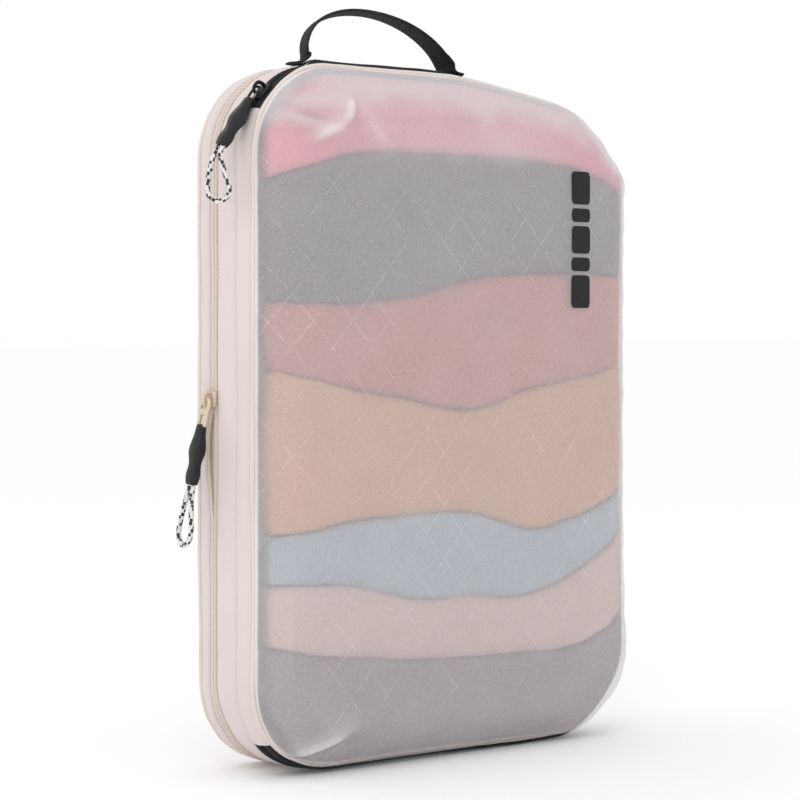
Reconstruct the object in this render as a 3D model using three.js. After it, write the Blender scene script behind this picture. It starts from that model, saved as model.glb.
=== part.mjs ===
// Compression packing cube, filled with folded clothes and standing on its short side.
// Millimetres. X runs to the right, the front faces -Y and Z is up.
// The origin is on the floor, under the middle of the depth between the front and rear seams.

import * as THREE from "three";

// Overall size, measured over the fabric bands
const width = 255;
const height = 360;
const cornerRadius = 48;

// Fabric and seams
const clothThickness = 1.2;
const seamGap = 0.3;
const weltThickness = 2.6;
const weltDepth = 2.4;
const bindingThickness = 0.6;
const bindingWidth = 6;

// Main zip, which runs round three sides
const mainTapeWidth = 5.2;
const mainTapeSpacing = 1.6;
const mainZipTopEnd = 60; // degrees down the upper left corner
const mainZipBottomEnd = 50; // degrees up the lower left corner
const mainSliderAngle = 48; // degrees down the upper left corner
const coilThickness = 1.5;
const coilWidth = 1.6;
const coilSpacing = 0.2;
const stopArc = 3; // degrees
const stopGap = 1; // degrees past the end of the tape

// Fabric bands and the compression zip, which runs all the way round
const frontGussetWidth = 16;
const compressionTapeWidth = 2.2;
const compressionTapeSpacing = 1.2;
const compressionCoilWidth = 1.1;
const rearGussetWidth = 8;
const compressionSliderHeight = 190;

// Expansion gusset, folded flat behind the compression zip
const expansionFoldInset = 5.2;
const expansionThickness = 0.6;
const expansionSpread = 2.4;

// Crowned panels: the rise of the rounded edge, the run that it takes and the dome beyond it
const lidCrown = { rise: 17, run: 30, dome: 5 };
const rearCrown = { rise: 6, run: 24, dome: 2 };
const panelRimInset = 0.8;
const tightestCorner = 6;

// Carry handle
const handleWidth = 15;
const handleThickness = 1.6;
const handleSpan = 96;
const handleCentreX = -30;
const handleRise = 32;
const handleLean = 10; // how far the top of the arch stands to the left of its middle
const handleShoulders = { left: 0.6, right: 2.2 }; // how much of the lean each end of the arch takes
const archPeak = 0.75; // height of a cubic curve as a share of its two inner points' height
const handleTilt = 0.5; // radians each way that the arch can be tipped
const anchorLength = 15;

// Sliders and pulls
const sliderLift = 0.4;
const pivotHeight = 4.6;
const bail = { halfLength: 3.4, below: 1.7, above: 2, width: 2, wall: 1.2, round: 1 };
const bailSlack = 0.35; // room that the bail keeps round the link
const link = { thickness: 1.4, halfWidth: 3.2, wall: 1.4, endWall: 2, round: 1.2 };
const holeRound = 0.6;
const cordDiameter = 2.6;
const mainSlider = { length: 9.5, mouth: 8.4, tail: 6.6, link: 8, grip: 30, gripRadius: 4.4 };
const compressionSlider = { length: 8.5, mouth: 7.4, tail: 6, link: 13, grip: 31, gripRadius: 4.2 };
const mainPullDrop = 54; // degrees below level
const compressionPullLean = 12; // degrees outward from hanging straight

// Printed mark on the lid
const markWidth = 14;
const markHeight = 74;
const markFromRight = 51.5;
const markFromTop = 86;
const markThickness = 0.4;
const markRows = 6;

// Folded clothes
const garmentInset = 6;
const garmentClearance = 3.2;
const garmentGap = 0.6;
const foldRound = 4;
const foldStart = 4; // depth at which the clothes step in to clear the expansion gusset
const foldInset = 17;
const garmentBack = 18;
const lineInset = 7.5; // where the first and last of the seven stations stand in from the sides
const stationSteps = 2;
const stackHeight = 360; // height of the stack that the lines below divide
// Heights of the lines between garments, at seven stations from left to right
const garmentLines = [
  [299, 313, 317, 318, 319, 317, 308],
  [239, 239, 243, 251, 255, 256, 254],
  [205, 196, 189, 184, 193, 199, 208],
  [121, 127, 130, 129, 119, 124, 140],
  [98, 96, 88, 86, 85, 96, 116],
  [67, 60, 57, 55, 54, 55, 71],
];
const garments = [
  { name: "folded_pink_top", colour: "#dba2b0" },
  { name: "folded_grey_sweater", colour: "#7d7a84" },
  { name: "folded_rose_shirt", colour: "#bb7f7c" },
  { name: "folded_sand_trousers", colour: "#cfa287" },
  { name: "folded_blue_shirt", colour: "#a4b0b8" },
  { name: "folded_blush_tee", colour: "#d6b0ac" },
  { name: "folded_mauve_sweater", colour: "#8d828c" },
];

const arcSteps = 9; // straight pieces in a quarter turn
const circleSteps = 12;

/** A matt material of one colour. */
function finish(color, roughness, metalness = 0) {
  return new THREE.MeshStandardMaterial({ color, roughness, metalness });
}

const offWhiteFabric = finish("#e8dedc", 0.9);
const creamFabric = finish("#e9ddd0", 0.85);
const frostedFabric = finish("#e6dfe0", 0.55);
const blackTape = finish("#24252a", 0.85);
const blackPlastic = finish("#26262a", 0.45);
const creamPlastic = finish("#e2d3be", 0.5);
const blackMetal = finish("#17171a", 0.35, 0.8);
const creamMetal = finish("#d9c8ae", 0.4, 0.3);
const speckledCord = finish("#c9c4c1", 0.9);
const blackInk = finish("#17171a", 0.6);

const cube = new THREE.Group();

/** Adds one named piece. */
function add(name, geometry, material, parent = cube) {
  const mesh = new THREE.Mesh(geometry, material);
  mesh.name = name;
  parent.add(mesh);
  return mesh;
}

/** Volume inside a closed indexed geometry, negative when its faces point in. */
function signedVolume(positions, faces) {
  const corners = [new THREE.Vector3(), new THREE.Vector3(), new THREE.Vector3()];
  let volume = 0;
  for (let face = 0; face < faces.length; face += 3) {
    corners.forEach((corner, k) => corner.fromArray(positions, faces[face + k] * 3));
    volume += corners[0].dot(corners[1].cross(corners[2])) / 6;
  }
  return volume;
}

/** Triangles that close a convex ring. */
function fanCap(count) {
  const triangles = [];
  for (let i = 1; i < count - 1; i += 1) triangles.push([0, i, i + 1]);
  return triangles;
}

/** Triangles that close a ring made of a lower row and the upper row back again. */
function stripCap(count) {
  const triangles = [];
  for (let i = 0; i < count / 2 - 1; i += 1) {
    triangles.push([i, i + 1, count - 2 - i], [i, count - 2 - i, count - 1 - i]);
  }
  return triangles;
}

/** Closed solid through matching rings. With no cap, the last ring joins the first. */
function loft(rings, cap) {
  const count = rings[0].length;
  const positions = rings.flat().flatMap((point) => point.toArray());
  const faces = [];
  const spans = cap ? rings.length - 1 : rings.length;
  for (let ring = 0; ring < spans; ring += 1) {
    const here = ring * count;
    const next = ((ring + 1) % rings.length) * count;
    for (let i = 0; i < count; i += 1) {
      const j = (i + 1) % count;
      faces.push(here + i, here + j, next + j, here + i, next + j, next + i);
    }
  }
  if (cap) {
    const last = (rings.length - 1) * count;
    for (const [a, b, c] of cap(count)) faces.push(c, b, a, last + a, last + b, last + c);
  }
  if (signedVolume(positions, faces) < 0) faces.reverse();
  const geometry = new THREE.BufferGeometry();
  geometry.setAttribute("position", new THREE.Float32BufferAttribute(positions, 3));
  geometry.setIndex(faces);
  geometry.computeVertexNormals();
  return geometry;
}

/** Stations along the outline between two angles, counter-clockwise seen from the front. */
function stations(fromAngle, toAngle) {
  const found = [];
  for (let corner = Math.floor(fromAngle / 90); corner * 90 < toAngle; corner += 1) {
    for (let step = 0; step <= arcSteps; step += 1) {
      const angle = corner * 90 + (step * 90) / arcSteps;
      const kept = THREE.MathUtils.clamp(angle, fromAngle, toAngle);
      const before = found.at(-1);
      if (!before || before.corner !== corner || kept > before.angle) found.push({ corner, angle: kept });
    }
  }
  return found.filter((station) => Math.abs(station.angle - station.corner * 90 - 45) <= 45);
}

/** A point at one station of the outline, moved in by inset, at one depth. */
function outlinePoint({ corner, angle }, inset, y) {
  const radius = Math.max(cornerRadius - inset, tightestCorner);
  const right = corner % 4 === 0 || corner % 4 === 3;
  const upper = corner % 4 === 0 || corner % 4 === 1;
  const centreX = (right ? 1 : -1) * (width / 2 - inset - radius);
  const centreZ = height / 2 + (upper ? 1 : -1) * (height / 2 - inset - radius);
  const turn = THREE.MathUtils.degToRad(angle);
  return new THREE.Vector3(centreX + radius * Math.cos(turn), y, centreZ + radius * Math.sin(turn));
}

/** A section of [inset, depth] pairs carried all the way round the outline. */
function ringBand(section) {
  const path = stations(0, 360);
  return loft(path.map((station) => section.map(([inset, y]) => outlinePoint(station, inset, y))));
}

/** The same section along a part of the outline, closed at both ends. */
function openBand(section, fromAngle, toAngle) {
  const path = stations(fromAngle, toAngle);
  return loft(path.map((station) => section.map(([inset, y]) => outlinePoint(station, inset, y))), fanCap);
}

/** A rectangular section from one inset and depth to another. */
function strip(inset, thickness, front, back) {
  return [[inset, front], [inset, back], [inset + thickness, back], [inset + thickness, front]];
}

/** A rounded section of the same size as a strip. */
function roll(inset, thickness, front, back) {
  const section = [];
  for (let step = 0; step < 6; step += 1) {
    const turn = ((step + 0.5) * Math.PI) / 3;
    section.push([
      inset + (thickness / 2) * (1 + Math.cos(turn)),
      (front + back) / 2 + ((back - front) / 2) * Math.sin(turn),
    ]);
  }
  return section;
}

/** How far a crowned panel stands out at a distance in from its rim. */
function crownRise({ rise, run, dome }, inset) {
  const edge = THREE.MathUtils.clamp(inset / run, 0, 1);
  const middle = THREE.MathUtils.clamp((inset - run) / (width / 2 - run), 0, 1);
  return rise * Math.sqrt(1 - (1 - edge) ** 2) + dome * Math.sin((middle * Math.PI) / 2);
}

/** Thin crowned panel whose rim stands at rimDepth. outward is -1 to the front and 1 to the rear. */
function crownedPanel(crown, rimDepth, outward) {
  const skin = (offset) => {
    const own = { rise: crown.rise - offset, run: crown.run - offset, dome: crown.dome };
    const insets = [0, 18, 36, 54, 72, 90].map((turn) => own.run * (1 - Math.cos(THREE.MathUtils.degToRad(turn))));
    insets.push(own.run + (width / 2 - own.run) * 0.3, own.run + (width / 2 - own.run) * 0.66);
    return insets.map((inset) => {
      const y = rimDepth + outward * crownRise(own, inset);
      return stations(0, 360).map((station) => outlinePoint(station, panelRimInset + offset + inset, y));
    });
  };
  return loft([...skin(0).reverse(), ...skin(clothThickness)], fanCap);
}

/** Straight pieces of a rounded rectangle, added to a shape or a hole. */
function roundedRectangle(path, left, bottom, right, top, radius) {
  path.moveTo(left + radius, bottom);
  path.lineTo(right - radius, bottom);
  path.absarc(right - radius, bottom + radius, radius, -Math.PI / 2, 0);
  path.lineTo(right, top - radius);
  path.absarc(right - radius, top - radius, radius, 0, Math.PI / 2);
  path.lineTo(left + radius, top);
  path.absarc(left + radius, top - radius, radius, Math.PI / 2, Math.PI);
  path.lineTo(left, bottom + radius);
  path.absarc(left + radius, bottom + radius, radius, Math.PI, Math.PI * 1.5);
  return path;
}

/** A flat shape given a thickness, starting at height zero. */
function plate(shape, depth) {
  return new THREE.ExtrudeGeometry(shape, { depth, bevelEnabled: false, curveSegments: 3 });
}

// Depths of the bands, from the lid seam at the front to the rear seam
const bands = [
  ["lidTape", mainTapeWidth, mainTapeSpacing],
  ["bodyTape", mainTapeWidth, seamGap],
  ["frontGusset", frontGussetWidth, seamGap],
  ["frontCompressionTape", compressionTapeWidth, compressionTapeSpacing],
  ["rearCompressionTape", compressionTapeWidth, seamGap],
  ["rearGusset", rearGussetWidth, 0],
];
const bodyDepth = bands.reduce((sum, [, bandWidth, spacing]) => sum + bandWidth + spacing, 0);
const depth = {};
bands.reduce((front, [name, bandWidth, spacing]) => {
  depth[name] = { front, back: front + bandWidth };
  return front + bandWidth + spacing;
}, -bodyDepth / 2);
const mainZipMiddle = (depth.lidTape.back + depth.bodyTape.front) / 2;
const compressionZipMiddle = (depth.frontCompressionTape.back + depth.rearCompressionTape.front) / 2;
const zipFrom = 270 - mainZipBottomEnd;
const zipTo = 450 + mainZipTopEnd;
const underTape = clothThickness + seamGap;

/** The full-width band of cloth between two depths. */
function clothStrip(band) {
  return strip(0, clothThickness, band.front, band.back);
}

// Body: bands that hold the shape
add("front_gusset", ringBand(clothStrip(depth.frontGusset)), offWhiteFabric);
add("body_zip_tape", openBand(clothStrip(depth.bodyTape), zipFrom, zipTo), blackTape);
const hingeGap = THREE.MathUtils.radToDeg(seamGap / cornerRadius);
const hingeSection = strip(0, clothThickness, depth.lidTape.front, depth.bodyTape.back);
add("lid_hinge_strip", openBand(hingeSection, zipTo - 360 + hingeGap, zipFrom - hingeGap), offWhiteFabric);
add("front_compression_tape", ringBand(clothStrip(depth.frontCompressionTape)), creamFabric);
const frontBindingMiddle = depth.frontGusset.front + seamGap;
const frontBinding = strip(
  underTape,
  bindingThickness,
  frontBindingMiddle - bindingWidth / 2,
  frontBindingMiddle + bindingWidth / 2,
);
add("front_seam_binding", ringBand(frontBinding), creamFabric);

// Coils of both zips lie on the inside of their tapes
const coilEdge = coilSpacing / 2;
const bodyCoil = strip(underTape, coilThickness, mainZipMiddle + coilEdge, mainZipMiddle + coilEdge + coilWidth);
const lidCoil = strip(underTape, coilThickness, mainZipMiddle - coilEdge - coilWidth, mainZipMiddle - coilEdge);
add("body_zip_coil", openBand(bodyCoil, zipFrom, zipTo), blackPlastic);
add("lid_zip_coil", openBand(lidCoil, zipFrom, zipTo), blackPlastic);
const stopSection = strip(underTape, coilThickness, mainZipMiddle - coilWidth, mainZipMiddle + coilWidth);
const topStop = zipTo - 360 + stopGap;
const bottomStop = zipFrom - stopGap;
add("main_zip_top_stop", openBand(stopSection, topStop, topStop + stopArc), blackMetal);
add("main_zip_bottom_stop", openBand(stopSection, bottomStop - stopArc, bottomStop), blackMetal);
for (const [name, side] of [["front_compression_coil", -1], ["rear_compression_coil", 1]]) {
  const near = compressionZipMiddle + side * coilEdge;
  const far = near + side * compressionCoilWidth;
  add(name, ringBand(strip(underTape, coilThickness, Math.min(near, far), Math.max(near, far))), creamPlastic);
}

// Expansion gusset: a pleat whose tip points inward between the two compression tapes
const pleatRoot = underTape + coilThickness + seamGap;
const pleatTip = pleatRoot + expansionFoldInset - underTape;
add(
  "expansion_gusset",
  ringBand([
    [pleatRoot, compressionZipMiddle - expansionSpread],
    [pleatRoot, compressionZipMiddle - expansionSpread + expansionThickness],
    [pleatTip - expansionThickness * 2, compressionZipMiddle],
    [pleatRoot, compressionZipMiddle + expansionSpread - expansionThickness],
    [pleatRoot, compressionZipMiddle + expansionSpread],
    [pleatTip, compressionZipMiddle + expansionThickness],
    [pleatTip, compressionZipMiddle - expansionThickness],
  ]),
  offWhiteFabric,
);

// Lid: tape, welt, crowned panel, seam binding and printed mark
const lidWeltBack = depth.lidTape.front - seamGap;
const lidRim = lidWeltBack - weltDepth - seamGap;
add("lid_zip_tape", openBand(clothStrip(depth.lidTape), zipFrom, zipTo), blackTape);
add("lid_welt", ringBand(roll(0, weltThickness, lidWeltBack - weltDepth, lidWeltBack)), creamFabric);
add("lid_panel", crownedPanel(lidCrown, lidRim, -1), frostedFabric);
const lidBinding = strip(underTape, bindingThickness, depth.lidTape.front, depth.lidTape.front + bindingWidth / 2);
add("lid_seam_binding", ringBand(lidBinding), creamFabric);

/** Distance in from the outline of a point in the front view. */
function insetAt(x, z) {
  const beyondX = Math.abs(x) - (width / 2 - cornerRadius);
  const beyondZ = Math.abs(z - height / 2) - (height / 2 - cornerRadius);
  const outside = Math.hypot(Math.max(beyondX, 0), Math.max(beyondZ, 0));
  return cornerRadius - outside - Math.min(Math.max(beyondX, beyondZ), 0);
}

/** Depth of the lid's outer face at a point in the front view. */
function lidFace(x, z) {
  return lidRim - crownRise(lidCrown, insetAt(x, z) - panelRimInset);
}

/** Thin printed mark that follows the lid's outer face. */
function printedMark() {
  const rings = [];
  const left = width / 2 - markFromRight - markWidth / 2;
  const right = left + markWidth;
  for (let row = 0; row <= markRows; row += 1) {
    const z = height - markFromTop - markHeight / 2 + (markHeight * row) / markRows;
    const back = (x) => lidFace(x, z) - seamGap;
    rings.push([
      new THREE.Vector3(left, back(left), z),
      new THREE.Vector3(right, back(right), z),
      new THREE.Vector3(right, back(right) - markThickness, z),
      new THREE.Vector3(left, back(left) - markThickness, z),
    ]);
  }
  return loft(rings, fanCap);
}
add("lid_print", printedMark(), blackInk);

// Rear section: everything behind the compression zip
add("rear_compression_tape", ringBand(clothStrip(depth.rearCompressionTape)), creamFabric);
add("rear_gusset", ringBand(clothStrip(depth.rearGusset)), offWhiteFabric);
const rearWeltFront = depth.rearGusset.back + seamGap;
add("rear_welt", ringBand(roll(0, weltThickness, rearWeltFront, rearWeltFront + weltDepth)), creamFabric);
add("rear_panel", crownedPanel(rearCrown, rearWeltFront + weltDepth + seamGap, 1), offWhiteFabric);
const rearBinding = strip(
  underTape,
  bindingThickness,
  depth.rearGusset.back - bindingWidth / 2,
  depth.rearGusset.back,
);
add("rear_seam_binding", ringBand(rearBinding), creamFabric);

/** Nearest point in the front view that is at least inset from the outline. */
function keepInside(x, z, inset) {
  const radius = cornerRadius - inset;
  const insideX = THREE.MathUtils.clamp(x, inset - width / 2, width / 2 - inset);
  const beyondX = Math.max(Math.abs(insideX) - (width / 2 - cornerRadius), 0);
  const reach = height / 2 - cornerRadius + Math.sqrt(radius ** 2 - beyondX ** 2);
  return [insideX, THREE.MathUtils.clamp(z, height / 2 - reach, height / 2 + reach)];
}

const stationSpacing = (width - 2 * lineInset) / (garmentLines[0].length - 1);
const lineStations = garmentLines[0].map((_, k) => lineInset - width / 2 + k * stationSpacing);
// The top garment keeps its thickness and the others share what is left
const lineHeights = garmentLines.map((line) =>
  line.map((at, k) => at + ((height - stackHeight) * at) / garmentLines[0][k]));

/** Height of a line between garments at one x. Lines past the first and last are the outline. */
function lineHeight(line, x) {
  if (line < 0) return height;
  if (line >= garmentLines.length) return 0;
  const curve = new THREE.CubicInterpolant(lineStations, lineHeights[line], 1);
  return curve.evaluate(THREE.MathUtils.clamp(x, lineStations[0], lineStations.at(-1)))[0];
}

/** One folded garment: a slab between two lines whose front follows the lid. */
function foldedGarment(index) {
  const count = (garmentLines[0].length - 1) * stationSteps + 1;
  const xs = Array.from({ length: count }, (_, k) => lineStations[0] + (k * stationSpacing) / stationSteps);
  const ring = (inset, shrink, depthAt) => {
    const row = (line, side) => xs.map((station) => {
      const [x] = keepInside(station, height / 2, inset);
      const room = lineHeight(index - 1, x) - lineHeight(index, x);
      const pull = garmentGap / 2 + Math.min(shrink, room * 0.3);
      const [, z] = keepInside(x, lineHeight(line, x) + side * pull, inset + shrink / 2);
      return new THREE.Vector3(x, depthAt(x, z), z);
    });
    return [...row(index, 1), ...row(index - 1, -1).reverse()];
  };
  const inner = {
    rise: lidCrown.rise - garmentClearance,
    run: lidCrown.run - garmentClearance,
    dome: lidCrown.dome,
  };
  const front = (setBack) => (x, z) => {
    const inset = insetAt(x, z) - panelRimInset - garmentClearance;
    return lidRim - crownRise(inner, inset) + setBack;
  };
  const flat = (y) => () => y;
  return loft([
    ring(garmentInset, foldRound, front(0)),
    ring(garmentInset, foldRound * 0.3, front(foldRound * 0.6)),
    ring(garmentInset, 0, front(foldRound * 1.6)),
    ring(garmentInset, 0, flat(foldStart)),
    ring(foldInset, 0, flat(foldStart + 1)),
    ring(foldInset, 0, flat(garmentBack)),
  ], stripCap);
}
garments.forEach(({ name, colour }, index) => add(name, foldedGarment(index), finish(colour, 0.95)));

// Handle: two sewn anchors and a webbing arch that can be tipped forward and back
const handleMiddleY = (depth.frontGusset.front + depth.frontGusset.back) / 2;
const anchorTop = height + seamGap + clothThickness;
const tiltClearance = (handleWidth / 2) * Math.sin(handleTilt) + handleThickness;
const handlePivotHeight = anchorTop + tiltClearance;
for (const [name, side] of [["handle_left_anchor", -1], ["handle_right_anchor", 1]]) {
  const shape = roundedRectangle(new THREE.Shape(), -anchorLength / 2, -handleWidth / 2, anchorLength / 2,
    handleWidth / 2, 1.5);
  const anchor = add(name, plate(shape, clothThickness), blackTape);
  anchor.position.set(handleCentreX + (side * handleSpan) / 2, handleMiddleY, height + seamGap);
}

/** The webbing arch as a strap of even thickness along one cubic curve. */
function handleArch() {
  const rise = (handleRise + height - handlePivotHeight) / archPeak;
  const curve = new THREE.CubicBezierCurve(
    new THREE.Vector2(-handleSpan / 2, 0),
    new THREE.Vector2(-handleSpan / 2 - handleLean * handleShoulders.left, rise),
    new THREE.Vector2(handleSpan / 2 - handleLean * handleShoulders.right, rise),
    new THREE.Vector2(handleSpan / 2, 0),
  );
  const steps = 24;
  const side = (offset) => Array.from({ length: steps + 1 }, (_, k) => {
    const tangent = curve.getTangent(k / steps);
    const point = curve.getPoint(k / steps);
    return new THREE.Vector2(point.x - tangent.y * offset, Math.max(point.y + tangent.x * offset, 0));
  });
  const shape = new THREE.Shape([...side(handleThickness / 2), ...side(-handleThickness / 2).reverse()]);
  const arch = plate(shape, handleWidth);
  arch.rotateX(Math.PI / 2);
  return arch;
}
const arch = add("handle_strap", handleArch(), blackTape);
arch.position.set(handleCentreX, handleMiddleY + handleWidth / 2, handlePivotHeight);

/** Places a group on the outline so that its Z points out and its X runs along the zip. */
function surfaceGroup(x, y, z, tilt) {
  const group = new THREE.Group();
  group.position.set(x, y, z);
  group.rotation.y = THREE.MathUtils.degToRad(tilt);
  cube.add(group);
  return group;
}

/** Slider body and the bail that holds its pull. */
function addSlider(prefix, size, material, parent) {
  const outline = new THREE.Shape();
  outline.moveTo(-size.length / 2, -size.tail / 2 + 1);
  outline.lineTo(-size.length / 2 + 1, -size.tail / 2);
  outline.lineTo(size.length / 2 - 2, -size.mouth / 2);
  outline.lineTo(size.length / 2, -size.mouth / 2 + 2);
  outline.lineTo(size.length / 2, size.mouth / 2 - 2);
  outline.lineTo(size.length / 2 - 2, size.mouth / 2);
  outline.lineTo(-size.length / 2 + 1, size.tail / 2);
  outline.lineTo(-size.length / 2, size.tail / 2 - 1);
  const body = add(`${prefix}_body`, plate(outline, pivotHeight - sliderLift - 2), material, parent);
  body.position.z = sliderLift;
  const { halfLength, below, above, wall, round } = bail;
  const loop = roundedRectangle(new THREE.Shape(), -halfLength, -below, halfLength, above, round);
  const room = above - wall + bailSlack;
  loop.holes.push(roundedRectangle(new THREE.Path(), wall - halfLength, -room, halfLength - wall, room, holeRound));
  const arch = plate(loop, bail.width);
  arch.rotateX(Math.PI / 2);
  const placed = add(`${prefix}_bail`, arch, material, parent);
  placed.position.set(0, bail.width / 2, pivotHeight);
}

/** Link and moulded grip, from the pivot along local X. */
function addPull(prefix, size, material, parent) {
  const half = link.thickness / 2;
  const inner = link.halfWidth - link.wall;
  const end = size.link - seamGap;
  const frame = roundedRectangle(new THREE.Shape(), -half, -link.halfWidth, end, link.halfWidth, link.round);
  frame.holes.push(roundedRectangle(new THREE.Path(), half, -inner, size.link - link.endWall, inner, holeRound));
  add(`${prefix}_link`, plate(frame, link.thickness), material, parent).geometry.translate(0, 0, -half);
  const radii = [[0, 0], [0, 0.66], [0.05, 0.74], [0.2, 0.8], [0.4, 1], [0.55, 0.92], [0.7, 0.8], [0.84, 0.92],
    [0.95, 0.86], [1, 0.74], [1, 0]];
  const profile = radii.map(([along, share]) => new THREE.Vector2(share * size.gripRadius, along * size.grip));
  const grip = new THREE.LatheGeometry(profile, circleSteps);
  grip.rotateZ(-Math.PI / 2);
  grip.scale(1, 1, 0.85);
  grip.translate(size.link, 0, 0);
  add(`${prefix}_grip`, grip, blackPlastic, parent);
}

/** Plain round cord through a list of points. */
function cord(points) {
  const path = new THREE.CatmullRomCurve3(points.map(([x, y, z]) => new THREE.Vector3(x, y, z)));
  const section = new THREE.Shape();
  section.absarc(0, 0, cordDiameter / 2, 0, Math.PI * 2);
  return new THREE.ExtrudeGeometry(section, { steps: 22, curveSegments: 4, extrudePath: path });
}

// Main slider on the upper left corner, with its pull lying down over the corner
const sliderTurn = THREE.MathUtils.degToRad(mainSliderAngle);
const cornerCentre = new THREE.Vector2(cornerRadius - width / 2, height - cornerRadius);
const onCorner = (reach) => [
  cornerCentre.x - reach * Math.sin(sliderTurn),
  cornerCentre.y + reach * Math.cos(sliderTurn),
];
const [sliderX, sliderZ] = onCorner(cornerRadius);
const mainSliderGroup = surfaceGroup(sliderX, mainZipMiddle, sliderZ, -mainSliderAngle);
addSlider("main_slider", mainSlider, blackMetal, mainSliderGroup);
const [pivotX, pivotZ] = onCorner(cornerRadius + pivotHeight);
const mainPullGroup = surfaceGroup(pivotX, mainZipMiddle, pivotZ, 180 - mainPullDrop);
addPull("main_pull", mainSlider, blackMetal, mainPullGroup);
add("main_pull_cord", cord([
  [-141.1, -16.9, 316.2], [-142.4, -17, 313.9], [-142.6, -17.3, 310.6], [-141.4, -17.7, 305.6],
  [-139.7, -18.2, 300.3], [-138.4, -18.6, 295.5], [-138.9, -17.8, 291.4], [-142, -14.8, 288.9],
  [-145.2, -11.6, 291.4], [-146, -10.7, 295.8], [-145.6, -11, 300.6], [-144.9, -11.9, 305.6],
  [-144, -12.7, 310.6], [-142.6, -13.4, 313.9], [-141.1, -13.6, 316.2],
]), speckledCord);

// Compression slider half way up the left side, with its pull hanging down
const leftSide = -width / 2;
const compressionGroup = surfaceGroup(leftSide, compressionZipMiddle, compressionSliderHeight, -90);
addSlider("compression_slider", compressionSlider, creamMetal, compressionGroup);
const compressionPullGroup = surfaceGroup(
  leftSide - pivotHeight,
  compressionZipMiddle,
  compressionSliderHeight,
  90 + compressionPullLean,
);
addPull("compression_pull", compressionSlider, creamMetal, compressionPullGroup);
add("compression_pull_cord", cord([
  [-141.3, 8.45, 146.6], [-141.9, 8.3, 144], [-142.8, 7.7, 139.5], [-143.7, 6.7, 134.5], [-144.5, 5.5, 129],
  [-145.1, 4.8, 124], [-145.6, 5.9, 119.4], [-145.9, 10.15, 116.8], [-145.6, 14.4, 119.4], [-145.1, 15.5, 124],
  [-144.5, 14.8, 129], [-143.7, 13.6, 134.5], [-142.8, 12.6, 139.5], [-141.9, 12, 144], [-141.3, 11.85, 146.6],
]), speckledCord);

export default cube;
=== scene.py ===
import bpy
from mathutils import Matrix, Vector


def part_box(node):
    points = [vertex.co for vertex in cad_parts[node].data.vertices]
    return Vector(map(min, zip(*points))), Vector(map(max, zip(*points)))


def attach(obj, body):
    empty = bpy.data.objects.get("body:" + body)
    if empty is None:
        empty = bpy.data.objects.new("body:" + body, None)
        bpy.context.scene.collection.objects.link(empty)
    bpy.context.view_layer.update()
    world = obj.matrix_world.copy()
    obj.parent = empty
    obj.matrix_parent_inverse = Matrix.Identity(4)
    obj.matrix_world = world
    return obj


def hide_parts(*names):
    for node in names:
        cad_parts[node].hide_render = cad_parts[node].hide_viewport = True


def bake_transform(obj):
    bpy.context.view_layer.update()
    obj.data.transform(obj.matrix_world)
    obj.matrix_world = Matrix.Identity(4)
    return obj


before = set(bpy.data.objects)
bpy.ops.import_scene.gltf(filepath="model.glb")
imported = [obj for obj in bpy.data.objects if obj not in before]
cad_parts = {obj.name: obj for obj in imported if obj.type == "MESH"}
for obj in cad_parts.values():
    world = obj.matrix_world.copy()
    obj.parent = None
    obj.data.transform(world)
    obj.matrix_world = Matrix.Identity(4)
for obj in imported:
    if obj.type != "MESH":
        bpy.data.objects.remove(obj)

"""Compression packing cube with a frosted lid, dressed over its fixed frame.

Metres. X runs to the right, the front faces -Y and Z is up. A place along the cube's side is a
distance round its outline, counter-clockwise seen from the front, from the top of the right side.
"""

import logging
import math
from dataclasses import dataclass, field
from enum import Enum
from typing import Callable, Sequence

import bpy
from mathutils import Matrix, Vector, noise
from mathutils.bvhtree import BVHTree

log = logging.getLogger("packing_cube")

TURN = 2 * math.pi
CORNER_RADIUS = 0.048
CLOTH = 0.0012

Material = bpy.types.Material
Piece = bpy.types.Object
Socket = bpy.types.NodeSocket
Pair = tuple[float, float]
Colour = tuple[float, float, float]
Point = tuple[float, float, float]
Feed = "float | Sequence[float] | Value | bpy.types.NodeSocket"
Shift = Callable[[float, float], Pair]


# ---------------------------------------------------------------- shaders


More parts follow.
